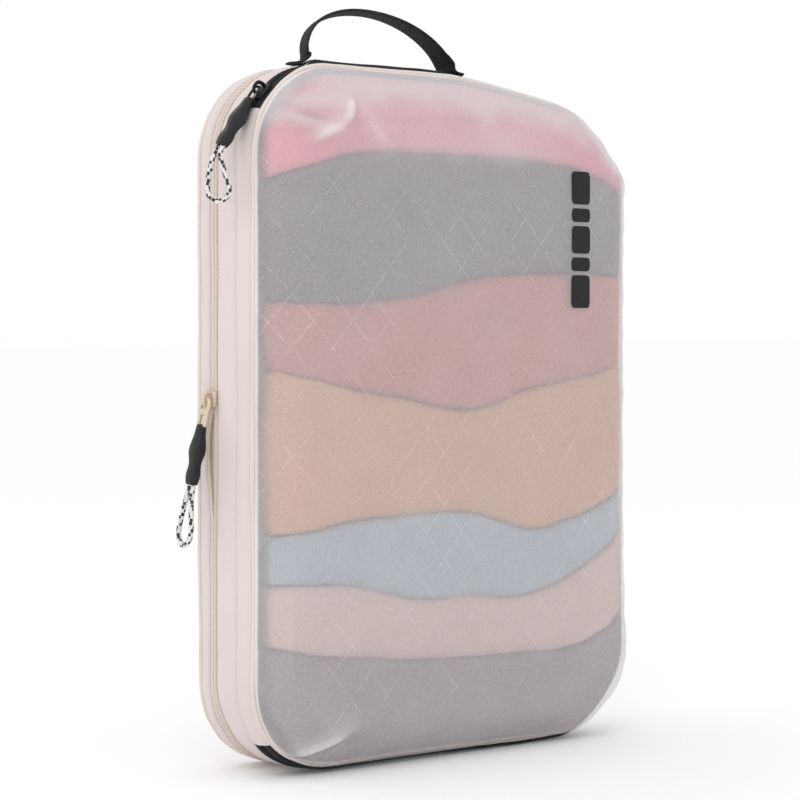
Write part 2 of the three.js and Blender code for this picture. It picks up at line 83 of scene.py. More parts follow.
class Value:
    """A shader socket that carries a number and takes part in arithmetic."""

    def __init__(self, shader: "Shader", socket: Socket) -> None:
        """Keeps the socket and the shader that it belongs to."""
        self.shader = shader
        self.socket = socket

    def math(self, operation: str, first: Feed, second: Feed = 0.0) -> "Value":
        """Adds one Math node.

        Args:
            operation: The Math node's operation.
            first: Its first number.
            second: Its second number, where the operation has one.

        Returns:
            The node's result.
        """
        node = self.shader.node("ShaderNodeMath", {"operation": operation}, {0: first, 1: second})
        return Value(self.shader, node.outputs[0])

    def __add__(self, other: Feed) -> "Value":
        """Sum."""
        return self.math("ADD", self, other)

    __radd__ = __add__

    def __sub__(self, other: Feed) -> "Value":
        """Difference."""
        return self.math("SUBTRACT", self, other)

    def __rsub__(self, other: Feed) -> "Value":
        """Difference from a plain number."""
        return self.math("SUBTRACT", other, self)

    def __mul__(self, other: Feed) -> "Value":
        """Product."""
        return self.math("MULTIPLY", self, other)

    __rmul__ = __mul__

    def __truediv__(self, other: Feed) -> "Value":
        """Quotient."""
        return self.math("DIVIDE", self, other)

    def __abs__(self) -> "Value":
        """Size without its sign."""
        return self.math("ABSOLUTE", self)

    def fraction(self) -> "Value":
        """Part after the decimal point."""
        return self.math("FRACT", self)

    def whole(self) -> "Value":
        """Part before the decimal point."""
        return self.math("FLOOR", self)

    def wave(self) -> "Value":
        """One sine wave for each step of one, from 0 to 1."""
        return self.math("SINE", self * TURN) * 0.5 + 0.5

    def from_middle(self) -> "Value":
        """Distance from the middle of each step of one, from 0 to 0.5."""
        return abs(self.fraction() - 0.5)

    def at_least(self, other: Feed) -> "Value":
        """The larger of two."""
        return self.math("MAXIMUM", self, other)

    def at_most(self, other: Feed) -> "Value":
        """The smaller of two."""
        return self.math("MINIMUM", self, other)

    def ease(self, low: float, high: float) -> "Value":
        """Smooth step from 0 at low to 1 at high.

        Args:
            low: Where the step starts. It may be above high, for a step down.
            high: Where the step ends.

        Returns:
            The step, from 0 to 1.
        """
        turned = low > high
        ends = {
            "From Min": min(low, high), "From Max": max(low, high), "To Min": float(turned),
            "To Max": float(not turned),
        }
        node = self.shader.node(
            "ShaderNodeMapRange", {"interpolation_type": "SMOOTHSTEP"}, {"Value": self, **ends}
        )
        return Value(self.shader, node.outputs["Result"])


class Shader:
    """A material being made, with one Principled surface."""

    def __init__(self, name: str, roughness: float, uniform: dict[str, float] | None = None) -> None:
        """Starts a material.

        Args:
            name: The material's name.
            roughness: Roughness where nothing changes it.
            uniform: Values of the surface's sockets that are the same all over.
        """
        self.material = bpy.data.materials.new(name)
        self.material.use_nodes = True
        self.tree = self.material.node_tree
        self.surface = self.tree.nodes["Principled BSDF"]
        self.surface.inputs["Roughness"].default_value = roughness
        for socket, number in (uniform or {}).items():
            self.surface.inputs[socket].default_value = number

    def node(
        self, kind: str, settings: dict[str, object] | None = None,
        sockets: dict[int | str, Feed] | None = None,
    ) -> bpy.types.Node:
        """Adds a node.

        Args:
            kind: The node's type.
            settings: Its settings, which are set first.
            sockets: Values or links of its sockets.

        Returns:
            The node.
        """
        node = self.tree.nodes.new(kind)
        for key, setting in (settings or {}).items():
            setattr(node, key, setting)
        for key, feed in (sockets or {}).items():
            self.feed(node.inputs[key], feed)
        return node

    def feed(self, socket: Socket, feed: Feed) -> None:
        """Links a socket, or sets its own value."""
        source = feed.socket if isinstance(feed, Value) else feed
        if isinstance(source, Socket):
            self.tree.links.new(source, socket)
        else:
            socket.default_value = source

    def split(self, vector: Socket) -> tuple[Value, Value, Value]:
        """The three numbers of a vector."""
        node = self.node("ShaderNodeSeparateXYZ", None, {0: vector})
        return Value(self, node.outputs[0]), Value(self, node.outputs[1]), Value(self, node.outputs[2])

    def place(self) -> tuple[Value, Value, Value]:
        """Place on the piece in metres."""
        return self.split(self.node("ShaderNodeTexCoord").outputs["Object"])

    def cut(self) -> tuple[Value, Value]:
        """Place on the flat cloth in metres, before it was sewn."""
        u, v, _ = self.split(self.node("ShaderNodeUVMap", {"uv_map": "cut"}).outputs["UV"])
        return u, v

    def cloud(self, scale: float, detail: float = 2.0, seed: Point = (0, 0, 0)) -> Value:
        """Soft noise from 0 to 1.

        Args:
            scale: Blotches in each metre.
            detail: How much finer noise is added.
            seed: Moves the noise, so that two clouds differ.

        Returns:
            The noise.
        """
        place = self.node("ShaderNodeTexCoord").outputs["Object"]
        moved = self.node("ShaderNodeVectorMath", {"operation": "ADD"}, {0: place, 1: seed}).outputs[0]
        node = self.node("ShaderNodeTexNoise", None, {"Vector": moved, "Scale": scale, "Detail": detail})
        return Value(self, node.outputs["Fac"])

    def colour(
        self, mask: Feed, low: Colour | Socket, high: Colour | Socket
    ) -> Socket:
        """Mixes two colours by a mask.

        Args:
            mask: 0 for the first colour and 1 for the second.
            low: The first colour.
            high: The second colour.

        Returns:
            The mixed colour.
        """
        ends = [(*tone, 1.0) if isinstance(tone, tuple) else tone for tone in (low, high)]
        node = self.node("ShaderNodeMix", {"data_type": "RGBA"}, {0: mask, 6: ends[0], 7: ends[1]})
        return node.outputs[2]

    def finish(
        self, colour: Socket, height: Value, relief: float, roughness: Value | None = None
    ) -> Material:
        """Connects the surface.

        Args:
            colour: The base colour.
            height: The surface's relief, from 0 to 1.
            relief: How high 1 is, in metres.
            roughness: Roughness where it changes over the surface.

        Returns:
            The finished material.
        """
        self.feed(self.surface.inputs["Base Color"], colour)
        bump = self.node("ShaderNodeBump", None, {"Height": height, "Distance": relief, "Strength": 1.0})
        self.feed(self.surface.inputs["Normal"], bump.outputs["Normal"])
        if roughness is not None:
            self.feed(self.surface.inputs["Roughness"], roughness)
        return self.material


class Lay(Enum):
    """How a pattern lies on a piece: along the cut cloth, or by place across the front."""

    CUT = "cut"
    PLACE = "place"

    def axes(self, shader: Shader) -> tuple[Value, Value]:
        """The pattern's two directions, in metres."""
        if self is Lay.CUT:
            return shader.cut()
        x, y, z = shader.place()
        return x + y, z


@dataclass(frozen=True)
class PlainWeave:
    """Plain woven cloth: crossing threads, slubs and a faint mottle."""

    name: str
    colour: Colour
    shade: Colour
    thread: float = 0.0007
    relief: float = 0.00005
    roughness: float = 0.82
    sheen: float = 0.15
    mottle: float = 26.0
    lay: Lay = Lay.CUT

    def make(self) -> Material:
        """Builds the material."""
        shader = Shader(self.name, self.roughness, {"Sheen Weight": self.sheen, "Sheen Roughness": 0.5})
        u, v = self.lay.axes(shader)
        warp = (u / self.thread).wave()
        weft = (v / self.thread).wave()
        height = warp * weft + (1 - warp) * (1 - weft)
        slub = shader.cloud(900, 1.0)
        blotch = shader.cloud(self.mottle, 3.0)
        mask = blotch * 0.55 + slub * 0.25 + height * 0.2
        return shader.finish(
            shader.colour(mask.ease(0.15, 0.75), self.shade, self.colour),
            height * 0.75 + slub * 0.5,
            self.relief,
            (self.roughness - 0.06) + blotch * 0.12,
        )


@dataclass(frozen=True)
class RibbedTape:
    """Woven tape or webbing: chevron ribs, and a fleck of paler yarn."""

    name: str
    colour: Colour
    fleck: Colour
    rib: float
    row: float
    relief: float
    flecks: float = 0.5
    roughness: float = 0.8

    def make(self) -> Material:
        """Builds the material."""
        shader = Shader(self.name, self.roughness, {"Specular IOR Level": 0.2})
        along, across = shader.cut()
        rib = across / self.rib
        chevron = (along / self.row + rib.from_middle() * 1.3).wave()
        channel = rib.from_middle().ease(0.5, 0.34)
        height = chevron * 0.55 + channel * 0.45
        yarn = shader.cloud(1500, 1.0)
        wear = shader.cloud(60, 2.0, (3, 1, 2))
        mask = (
            yarn.ease(0.5, 0.75) * chevron * self.flecks + wear.ease(0.45, 0.8) * 0.12 + channel * 0.06
        ).at_most(1.0)
        return shader.finish(
            shader.colour(mask, self.colour, self.fleck),
            height + yarn * 0.3,
            self.relief,
            (self.roughness - 0.08) + yarn * 0.16,
        )


@dataclass(frozen=True)
class FrostedRipstop:
    """Milky see-through cloth, with heavier white threads crossing it in diamonds. Fold crests are painted
    whiter, a painted highlight, and fold valleys painted darker, a painted shade.
    """

    name: str
    colour: Colour = (0.77, 0.735, 0.745)
    thread_colour: Colour = (0.95, 0.94, 0.95)
    # Painted shade: the colour that fold valleys are darkened towards.
    valley_painted_shade: Colour = (0.42, 0.38, 0.39)
    diamond: Pair = (0.023, 0.027)
    thread: float = 0.017
    ground: float = 0.36
    thread_cover: float = 0.51
    haze_cover: float = 0.95
    rim_width: float = 0.0013

    def make(self) -> Material:
        """Builds the material."""
        shader = Shader(
            self.name, 0.48, {"Sheen Weight": 0.12, "Sheen Roughness": 0.4, "Specular IOR Level": 0.4}
        )
        u, v = shader.cut()
        wobble = shader.cloud(30, 2.0) * 0.05
        rising = u / self.diamond[0] + v / self.diamond[1] + wobble
        falling = u / self.diamond[0] - v / self.diamond[1] + wobble
        threads = self.line(rising, falling).at_least(self.line(falling, rising))
        worn = shader.cloud(20, 3.0, (5, 0, 2)).ease(0.42, 0.66)
        broken = shader.cloud(420, 1.0, (1, 4, 1)).ease(0.4, 0.62)
        threads = threads * (worn * 0.85 + 0.15) * (broken * 0.8 + 0.2)
        grain = (u / 0.0006).wave() * (v / 0.0006).wave()
        cloud = shader.cloud(36, 4.0, (2, 2, 7))
        speck = shader.cloud(760, 2.0, (7, 3, 1))
        seam = self.sewn(shader, "rim").ease(self.rim_width * 2, self.rim_width * 0.6)
        fold = self.sewn(shader, "fold")
        crest, valley = fold.ease(0.35, 1.0), fold.ease(-0.25, -0.9)
        # Milk raises the cover from the haze attribute, the doubled seam at the rim and the folds. Fold
        # crests and valleys stand partly for doubled cloth and partly for painted highlight and painted
        # shade.
        milk = (self.sewn(shader, "haze") + seam * 0.8 + crest * 0.28 + valley * 0.22).at_most(1.0)
        cover = self.ground + cloud * 0.10 + grain * 0.04 + speck * 0.16 - 0.13
        cover = cover + threads * (self.thread_cover - self.ground)
        cover = cover + milk * (self.haze_cover - cover)
        shader.feed(shader.surface.inputs["Alpha"], cover.at_most(0.97))
        # Painted highlight and painted shade: fold crests are whitened towards the thread colour and fold
        # valleys darkened towards the valley shade, for the light and shade that the creases catch.
        cloth = shader.colour(
            valley * 0.6, shader.colour(crest * 0.2, self.colour, self.thread_colour), self.valley_painted_shade
        )
        return shader.finish(
            shader.colour(threads, cloth, self.thread_colour),
            threads * 0.8 + grain * 0.3 + speck * 0.4,
            0.00009,
            0.54 - threads * 0.14 + cloud * 0.1 - 0.05,
        )

    def sewn(self, shader: Shader, name: str) -> Value:
        """A number that the panel's mesh carries at each point."""
        return Value(shader, shader.node("ShaderNodeAttribute", {"attribute_name": name}).outputs["Fac"])

    def line(self, across: Value, along: Value) -> Value:
        """One set of parallel threads.

        Args:
            across: Counts the threads.
            along: Runs along them, in diamonds.

        Returns:
            1 on a thread and 0 between threads.
        """
        core = across.from_middle().ease(0.5 - self.thread, 0.5 - self.thread * 0.35)
        beads = (along * 26).wave() * 0.45 + 0.55
        return core * beads


@dataclass(frozen=True)
class Knit:
    """Knitted cloth: columns of small V stitches."""

    name: str
    colour: Colour
    shade: Colour
    stitch: float = 0.003
    relief: float = 0.0004
    roughness: float = 0.92

    def make(self) -> Material:
        """Builds the material."""
        shader = Shader(self.name, self.roughness, {"Sheen Weight": 0.3, "Sheen Roughness": 0.6})
        u, v = Lay.PLACE.axes(shader)
        column = u / self.stitch
        row = v / (self.stitch * 0.8) + column.from_middle() * 1.6
        loops = row.wave() * column.from_middle().ease(0.0, 0.12) * column.from_middle().ease(0.5, 0.38)
        fuzz = shader.cloud(1400, 2.0)
        blotch = shader.cloud(18, 3.0)
        mask = loops * 0.45 + blotch * 0.4 + fuzz * 0.2
        return shader.finish(
            shader.colour(mask.ease(0.1, 0.8), self.shade, self.colour),
            loops + fuzz * 0.25,
            self.relief,
            (self.roughness - 0.05) + fuzz * 0.1,
        )


@dataclass(frozen=True)
class Twill:
    """Diagonal woven cloth with a soft wash."""

    name: str
    colour: Colour
    shade: Colour
    rib: float = 0.0016
    relief: float = 0.00015

    def make(self) -> Material:
        """Builds the material."""
        shader = Shader(self.name, 0.85, {"Sheen Weight": 0.15, "Sheen Roughness": 0.5})
        u, v = Lay.PLACE.axes(shader)
        ribs = ((u + v) / self.rib).wave()
        yarn = ((u - v * 0.4) / (self.rib * 0.7)).wave()
        wash = shader.cloud(16, 4.0)
        lint = shader.cloud(1200, 1.0)
        mask = wash * 0.55 + ribs * yarn * 0.3 + lint * 0.2
        return shader.finish(
            shader.colour(
                mask.ease(0.15, 0.75), self.shade, self.colour
            ), ribs * 0.7 + yarn * 0.3, self.relief, 0.8 + lint * 0.12
        )


@dataclass(frozen=True)
class BraidedCord:
    """Round braided cord: white yarn with pairs of black flecks."""

    name: str
    colour: Colour = (0.80, 0.77, 0.75)
    fleck: Colour = (0.012, 0.012, 0.014)
    repeat: float = 0.0072

    def make(self) -> Material:
        """Builds the material."""
        shader = Shader(self.name, 0.78, {"Sheen Weight": 0.2, "Sheen Roughness": 0.5})
        along, around = shader.cut()
        step = along / self.repeat
        left = (step * 3 + around * 4).wave()
        right = (step * 3 - around * 4).wave()
        plait = left.at_least(right)
        pair = step * 2
        flecks = self.block(pair.fraction(), 0.36, 0.24) * self.block(
            (around * 2 + pair.whole() * 0.27).fraction(), 0.4, 0.22
        )
        other = pair + 0.5
        second = self.block(other.fraction(), 0.4, 0.2) * self.block(
            (around * 2 + other.whole() * 0.41 + 0.5).fraction(), 0.5, 0.2
        )
        flecks = flecks.at_least(second)
        fuzz = shader.cloud(1800, 2.0)
        dirt = shader.cloud(120, 2.0, (3, 3, 3))
        pale = shader.colour(dirt.ease(0.4, 0.8) * 0.5, self.colour, (0.62, 0.59, 0.56))
        return shader.finish(
            shader.colour(
                (flecks * (fuzz * 0.4 + 0.8)).at_most(1.0), pale, self.fleck
            ), plait + fuzz * 0.3, 0.00025, 0.72 + fuzz * 0.12
        )

    def block(self, step: Value, middle: float, half: float) -> Value:
        """1 near a share of each repeat and 0 elsewhere."""
        return abs(step - middle).ease(half + 0.04, half - 0.02)


@dataclass(frozen=True)
class Moulded:
    """Moulded or painted part: fine grain, handling marks and a little wear."""

    name: str
    colour: Colour
    worn: Colour
    roughness: float
    metallic: float = 0.0
    grain: float = 2600.0
    relief: float = 0.00002
    wear: float = 0.25
    gloss: float = 0.25

    def make(self) -> Material:
        """Builds the material."""
        shader = Shader(
            self.name, self.roughness, {"Metallic": self.metallic, "Specular IOR Level": self.gloss}
        )
        grain = shader.cloud(self.grain, 2.0)
        marks = shader.cloud(190, 4.0, (1, 5, 2))
        rubbed = marks.ease(0.55, 0.78) * self.wear
        return shader.finish(
            shader.colour(rubbed, self.colour, self.worn),
            grain * 0.7 + marks * 0.4,
            self.relief,
            (self.roughness - 0.06) + marks * 0.16 - rubbed * 0.1,
        )


@dataclass(frozen=True)
class Ink:
    """Printed ink that lets a little of the cloth's grain through."""

    name: str
    colour: Colour = (0.012, 0.012, 0.014)

    def make(self) -> Material:
        """Builds the material."""
        shader = Shader(self.name, 0.55, {"Specular IOR Level": 0.2})
        x, _, z = shader.place()
        grain = (x / 0.0006).wave() * (z / 0.0006).wave()
        thin = shader.cloud(240, 3.0)
        return shader.finish(
            shader.colour(thin.ease(0.56, 0.8) * 0.4 + grain * 0.05, self.colour, (0.06, 0.06, 0.065)),
            grain + thin * 0.4,
            0.00004,
            0.42 + thin * 0.18,
        )


@dataclass(frozen=True)
class Paper:
    """Seamless studio floor."""

    name: str
    colour: Colour = (0.93, 0.93, 0.93)
    glow: float = 0.05

    def make(self) -> Material:
        """Builds the material."""
        shader = Shader(self.name, 0.95, {"Specular IOR Level": 0.1})
        fibre = shader.cloud(8, 3.0)
        shader.surface.inputs["Emission Color"].default_value = (1.0, 1.0, 1.0, 1.0)
        shader.surface.inputs["Emission Strength"].default_value = self.glow
        return shader.finish(
            shader.colour(fibre, self.colour, tuple(c * 0.99 for c in self.colour)), fibre, 0.00001
        )


class Finishes:
    """Every finish of the cube, made once."""

    def __init__(self) -> None:
        """Builds the materials."""
        off_white = (0.715, 0.636, 0.620)
        off_white_shade = (0.665, 0.580, 0.563)
        self.gusset = PlainWeave("gusset_cloth", off_white, off_white_shade).make()
        self.trim = PlainWeave(
            "trim_cloth", (0.790, 0.690, 0.640), (0.700, 0.600, 0.540), thread=0.0011, relief=0.00012
        ).make()
        self.binding = RibbedTape(
            "binding_tape", (0.72, 0.65, 0.58), (0.80, 0.74, 0.67), 0.0018, 0.0012, 0.00012
        ).make()
        self.lid = FrostedRipstop("frosted_lid").make()
        self.zip_tape = RibbedTape(
            "black_zip_tape", (0.010, 0.010, 0.012), (0.085, 0.085, 0.095), 0.0013, 0.0011, 0.00014
        ).make()
        self.pale_tape = RibbedTape(
            "pale_zip_tape", (0.68, 0.60, 0.54), (0.78, 0.71, 0.65), 0.0011, 0.001, 0.00012
        ).make()
        self.webbing = RibbedTape(
            "black_webbing", (0.008, 0.008, 0.010), (0.13, 0.13, 0.14), 0.0021, 0.0024, 0.0003, 0.8
        ).make()
        self.black_coil = Moulded("black_coil", (0.014, 0.014, 0.016), (0.08, 0.08, 0.085), 0.34).make()
        self.pale_coil = Moulded("pale_coil", (0.74, 0.66, 0.56), (0.84, 0.78, 0.70), 0.36).make()
        self.black_metal = Moulded(
            "black_slider_metal", (0.022, 0.022, 0.025), (0.62, 0.61, 0.60), 0.32, 0.75, wear=0.45
        ).make()
        self.pale_metal = Moulded(
            "pale_slider_metal", (0.66, 0.55, 0.42), (0.80, 0.74, 0.66), 0.36, 0.25, wear=0.35
        ).make()
        self.grip = Moulded(
            "black_grip", (0.006, 0.006, 0.008), (0.03, 0.03, 0.034), 0.30, grain=4200, relief=0.00003,
            gloss=0.4,
        ).make()
        self.cord = BraidedCord("speckled_cord").make()
        self.coral_thread = Moulded(
            "coral_thread", (0.76, 0.50, 0.44), (0.80, 0.60, 0.54), 0.7, grain=5200, relief=0.00008
        ).make()
        self.black_thread = Moulded(
            "black_thread", (0.02, 0.02, 0.022), (0.10, 0.10, 0.11), 0.65, grain=5200, relief=0.00008
        ).make()
        self.pale_thread = Moulded(
            "pale_thread", (0.80, 0.74, 0.70), (0.88, 0.84, 0.80), 0.7, grain=5200, relief=0.00008
        ).make()
        self.print = Ink("black_print").make()
        self.floor = Paper("studio_floor").make()


# ---------------------------------------------------------------- shapes


@dataclass(frozen=True)
class Outline:
    """Rounded rectangle that every band follows."""

    width: float
    height: float
    radius: float
    drawn_in: float = 0.09
    droop: float = 0.0165
    droop_reach: float = 0.105
    droop_from: float = 0.285
    droop_full: float = 0.345

    @property
    def corner(self) -> float:
        """Length of one rounded corner."""
        return self.radius * math.pi / 2

    @property
    def across(self) -> float:
        """Length of the straight top or bottom."""
        return self.width - 2 * self.radius

    @property
    def up(self) -> float:
        """Length of a straight side."""
        return self.height - 2 * self.radius

    @property
    def length(self) -> float:
        """Length all the way round."""
        return 4 * self.corner + 2 * (self.across + self.up)

    def turned(self, degrees: float) -> float:
        """Distance round to where a corner faces a direction.

        Args:
            degrees: The direction, counter-clockwise from the right.

        Returns:
            The distance. It goes on counting after a whole turn.
        """
        corner, rest = divmod(degrees, 90)
        straights = (0, self.across, self.across + self.up, 2 * self.across + self.up)
        turns, corner = divmod(int(corner), 4)
        whole = turns * self.length + corner * self.corner + straights[corner]
        return whole + self.radius * math.radians(rest)

    def down_left(self, z: float) -> float:
        """Distance round to a height on the straight left side."""
        return 2 * self.corner + self.across + (self.height - self.radius - z)

    def on_top(self, x: float) -> float:
        """Distance round to a place on the straight top."""
        return self.corner + self.across / 2 - x

    def at(self, distance: float) -> tuple[float, float, float, float]:
        """Place and outward direction.

        Args:
            distance: Distance round the outline.

        Returns:
            X, Z, and the X and Z of the outward direction.
        """
        rest = distance % self.length
        for corner in range(4):
            side_x = 1 if corner in (0, 3) else -1
            side_z = 1 if corner in (0, 1) else -1
            centre_x = side_x * self.across / 2
            centre_z = self.height / 2 + side_z * self.up / 2
            straight = self.across if corner in (0, 2) else self.up
            turn = corner * math.pi / 2 + min(rest / self.radius, math.pi / 2)
            out_x, out_z = math.cos(turn), math.sin(turn)
            if rest < self.corner:
                return centre_x + self.radius * out_x, centre_z + self.radius * out_z, out_x, out_z
            rest -= self.corner
            if rest < straight:
                x = centre_x + self.radius * out_x - out_z * rest
                z = centre_z + self.radius * out_z + out_x * rest
                return x, z, out_x, out_z
            rest -= straight
        return self.at(0.0)

    def point(self, distance: float, inset: float, y: float) -> Point:
        """A point at a distance round, moved in by inset, at one depth."""
        x, z, out_x, out_z = self.at(distance)
        x, z = self.settled(x - out_x * inset, z - out_z * inset)
        return x, y, z

    def settled(self, x: float, z: float) -> Pair:
        """Where a point in the front view comes to rest: right-hand corners drawn in, upper one slumped."""
        x, z = self.gathered(x, z)
        reach = min(max(x / self.droop_reach, 0.0), 1.08) ** 1.5
        return x, z - self.droop * reach * ease((z - self.droop_from) / (self.droop_full - self.droop_from))

    def gathered(self, x: float, z: float) -> Pair:
        """A point in the front view with the right-hand corners drawn in.

        Args:
            x: Where it is across.
            z: Its height.

        Returns:
            X and Z.
        """
        beyond_x = x - self.across / 2
        side_z = 1 if z > self.height / 2 else -1
        beyond_z = side_z * (z - self.height / 2) - self.up / 2
        if beyond_x <= 0 or beyond_z <= 0:
            return x, z
        reach = math.hypot(beyond_x, beyond_z)
        slant = 2 * beyond_x * beyond_z / reach ** 2
        keep = 1 - self.drawn_in * slant ** 2 * min(reach / self.radius, 1.0) ** 2
        return self.across / 2 + beyond_x * keep, self.height / 2 + side_z * (self.up / 2 + beyond_z * keep)


def ease(share: float) -> float:
    """Smooth step from 0 to 1, and level beyond both ends."""
    share = min(max(share, 0.0), 1.0)
    return share * share * (3 - 2 * share)


def make_mesh(
    name: str, points: Sequence[Point], faces: Sequence[Sequence[int]],
    cut: Sequence[Sequence[Pair]] | None = None, crease: float = 50.0,
) -> Piece:
    """Makes one mesh object.

    Args:
        name: The piece's name.
        points: Its points.
        faces: Its faces.
        cut: For each face, the place of its corners on the flat cloth.
        crease: Angle in degrees beyond which an edge stays sharp.

    Returns:
        The object, in the scene.
    """
    mesh = bpy.data.meshes.new(name)
    mesh.from_pydata([tuple(point) for point in points], [], [tuple(face) for face in faces])
    if cut is not None:
        layer = mesh.uv_layers.new(name="cut")
        layer.data.foreach_set("uv", [number for face in cut for corner in face for number in corner])
    mesh.update()
    mesh.polygons.foreach_set("use_smooth", [True] * len(mesh.polygons))
    mesh.set_sharp_from_angle(angle=math.radians(crease))
    piece = bpy.data.objects.new(name, mesh)
    bpy.context.scene.collection.objects.link(piece)
    return piece


def lattice(
    name: str, rows: Sequence[Sequence[Point]], stations: Sequence[float], closed_across: bool,
    closed_along: bool, caps: bool = False, crease: float = 50.0,
) -> Piece:
    """Makes a mesh from matching rows of points.

    Args:
        name: The piece's name.
        rows: The rows, one for each station.
        stations: Distance along at each row, with one more where the piece closes on itself.
        closed_across: Whether a row's last point joins its first.
        closed_along: Whether the last row joins the first.
        caps: Whether both ends are closed.
        crease: Angle in degrees beyond which an edge stays sharp.

    Returns:
        The object.
    """
    count = len(rows[0])
    spans = count if closed_across else count - 1
    middle = rows[len(rows) // 2]
    across = [0.0]
    for k in range(spans):
        across.append(across[-1] + (Vector(middle[(k + 1) % count]) - Vector(middle[k])).length)
    faces, cut = [], []
    for r in range(len(rows) if closed_along else len(rows) - 1):
        here, following = r * count, ((r + 1) % len(rows)) * count
        for k in range(spans):
            j = (k + 1) % count
            faces.append((here + k, here + j, following + j, following + k))
            cut.append(
                [
                    (stations[r], across[k]), (stations[r], across[k + 1]),
                    (stations[r + 1], across[k + 1]), (stations[r + 1], across[k]),
                ]
            )
    if caps:
        for start, order in ((0, -1), ((len(rows) - 1) * count, 1)):
            ring = [start + k for k in range(count)][::order]
            faces.append(ring)
            cut.append([(0.0, across[k]) for k in range(count)])
    return make_mesh(name, [point for row in rows for point in row], faces, cut, crease)


def still(distance: float, y: float) -> Pair:
    """A band that is moved nowhere."""
    return 0.0, 0.0


def sweep(
    name: str, outline: Outline, section: Sequence[Pair], start: float | None = None,
    stop: float | None = None, shift: Shift = still, spacing: float = 0.003,
) -> Piece:
    """Carries a closed section along the outline.

    Args:
        name: The piece's name.
        outline: The outline.
        section: Points of inset and depth.
        start: Distance round where it starts. All the way round if this is None.
        stop: Distance round where it ends.
        shift: Gives how far out and how far back a point is moved, from its distance round and depth.
        spacing: Distance between rows.

    Returns:
        The object.
    """
    whole = start is None
    first, last = (0.0, outline.length) if whole else (start, stop)
    steps = max(2, round((last - first) / spacing))
    stations = [first + (last - first) * k / steps for k in range(steps + 1)]
    rows = []
    for distance in stations[:-1] if whole else stations:
        row = []
        for inset, y in section:
            out, back = shift(distance, y)
            row.append(outline.point(distance, inset - out, y + back))
        rows.append(row)
    return lattice(name, rows, stations, True, whole, not whole)


def cloth_section(
    front: float, back: float, thickness: float = CLOTH, puff: float = 0.0, tuck: float = 0.0, rows: int = 8
) -> list[Pair]:
    """Section of a band of cloth whose middle stands out and whose edges turn in.

    Args:
        front: Depth of its front edge.
        back: Depth of its back edge.
        thickness: Thickness of the cloth.
        puff: How far the middle stands out.
        tuck: How far the edges turn in.
        rows: Pieces across.

    Returns:
        A closed section.
    """
    outer = []
    for k in range(rows + 1):
        share = k / rows
        edge = max(0.0, 1 - min(share, 1 - share) * 6) ** 2
        outer.append((tuck * edge - puff * math.sin(math.pi * share), front + (back - front) * share))
    return outer + [(inset + thickness, y) for inset, y in reversed(outer)]


def round_section(
    middle_inset: float, middle_y: float, across: float, deep: float, count: int = 10
) -> list[Pair]:
    """Oval section round a middle."""
    turns = [TURN * k / count for k in range(count)]
    return [(middle_inset - across * math.cos(turn), middle_y + deep * math.sin(turn)) for turn in turns]


def smooth_path(points: Sequence[Point], spacing: float) -> list[Vector]:
    """Even points on a smooth curve through the given ones.

    Args:
        points: Points that the curve passes.
        spacing: Distance between the points found.

    Returns:
        The points, with both ends.
    """
    known = [Vector(p) for p in points]
    padded = [known[0] * 2 - known[1], *known, known[-1] * 2 - known[-2]]
    dense = []
    for a, b, c, d in zip(padded, padded[1:], padded[2:], padded[3:]):
        for k in range(16):
            t = k / 16
            bend = (3 * b - a - 3 * c + d) * t ** 3
            dense.append(0.5 * ((2 * b) + (c - a) * t + (2 * a - 5 * b + 4 * c - d) * t * t + bend))
    dense.append(known[-1])
    reach = [0.0]
    for a, b in zip(dense, dense[1:]):
        reach.append(reach[-1] + (b - a).length)
    count = max(2, round(reach[-1] / spacing))
    found, k = [], 0
    for step in range(count + 1):
        wanted = reach[-1] * step / count
        while k < len(reach) - 2 and reach[k + 1] < wanted:
            k += 1
        share = (wanted - reach[k]) / max(reach[k + 1] - reach[k], 1e-9)
        found.append(dense[k].lerp(dense[k + 1], min(max(share, 0.0), 1.0)))
    return found


def tube(
    name: str, path: Sequence[Vector], radius: Callable[[float, float], float], sides: int,
    closed: bool = False,
) -> Piece:
    """Round piece along a path.

    Args:
        name: The piece's name.
        path: Its middle line.
        radius: Gives the radius from the distance along and the turn round it, from 0 to 1.
        sides: Points round it.
        closed: Whether the path joins its own start.

    Returns:
        The object.
    """
    count = len(path)
    following = (lambda k: path[(k + 1) % count]) if closed else (lambda k: path[min(k + 1, count - 1)])
    before = (lambda k: path[(k - 1) % count]) if closed else (lambda k: path[max(k - 1, 0)])
    tangents = [(following(k) - before(k)).normalized() for k in range(count)]
    side = tangents[0].orthogonal().normalized()
    rows, stations, reach = [], [], 0.0
    for k, (point, tangent) in enumerate(zip(path, tangents)):
        side = (side - tangent * side.dot(tangent)).normalized()
        other = tangent.cross(side)
        reach += (point - before(k)).length if k else 0.0
        turns = [TURN * j / sides for j in range(sides)]
        rows.append(
            [
                point + (side * math.cos(turn) + other * math.sin(turn)) * radius(reach, turn / TURN)
                for turn in turns
            ]
        )
        stations.append(reach)
    stations.append(reach)
    piece = lattice(name, rows, stations, True, closed, not closed)
    around = piece.data.uv_layers["cut"].data
    total = max(spot.uv.y for spot in around) or 1.0
    for spot in around:
        spot.uv.y /= total
    return piece


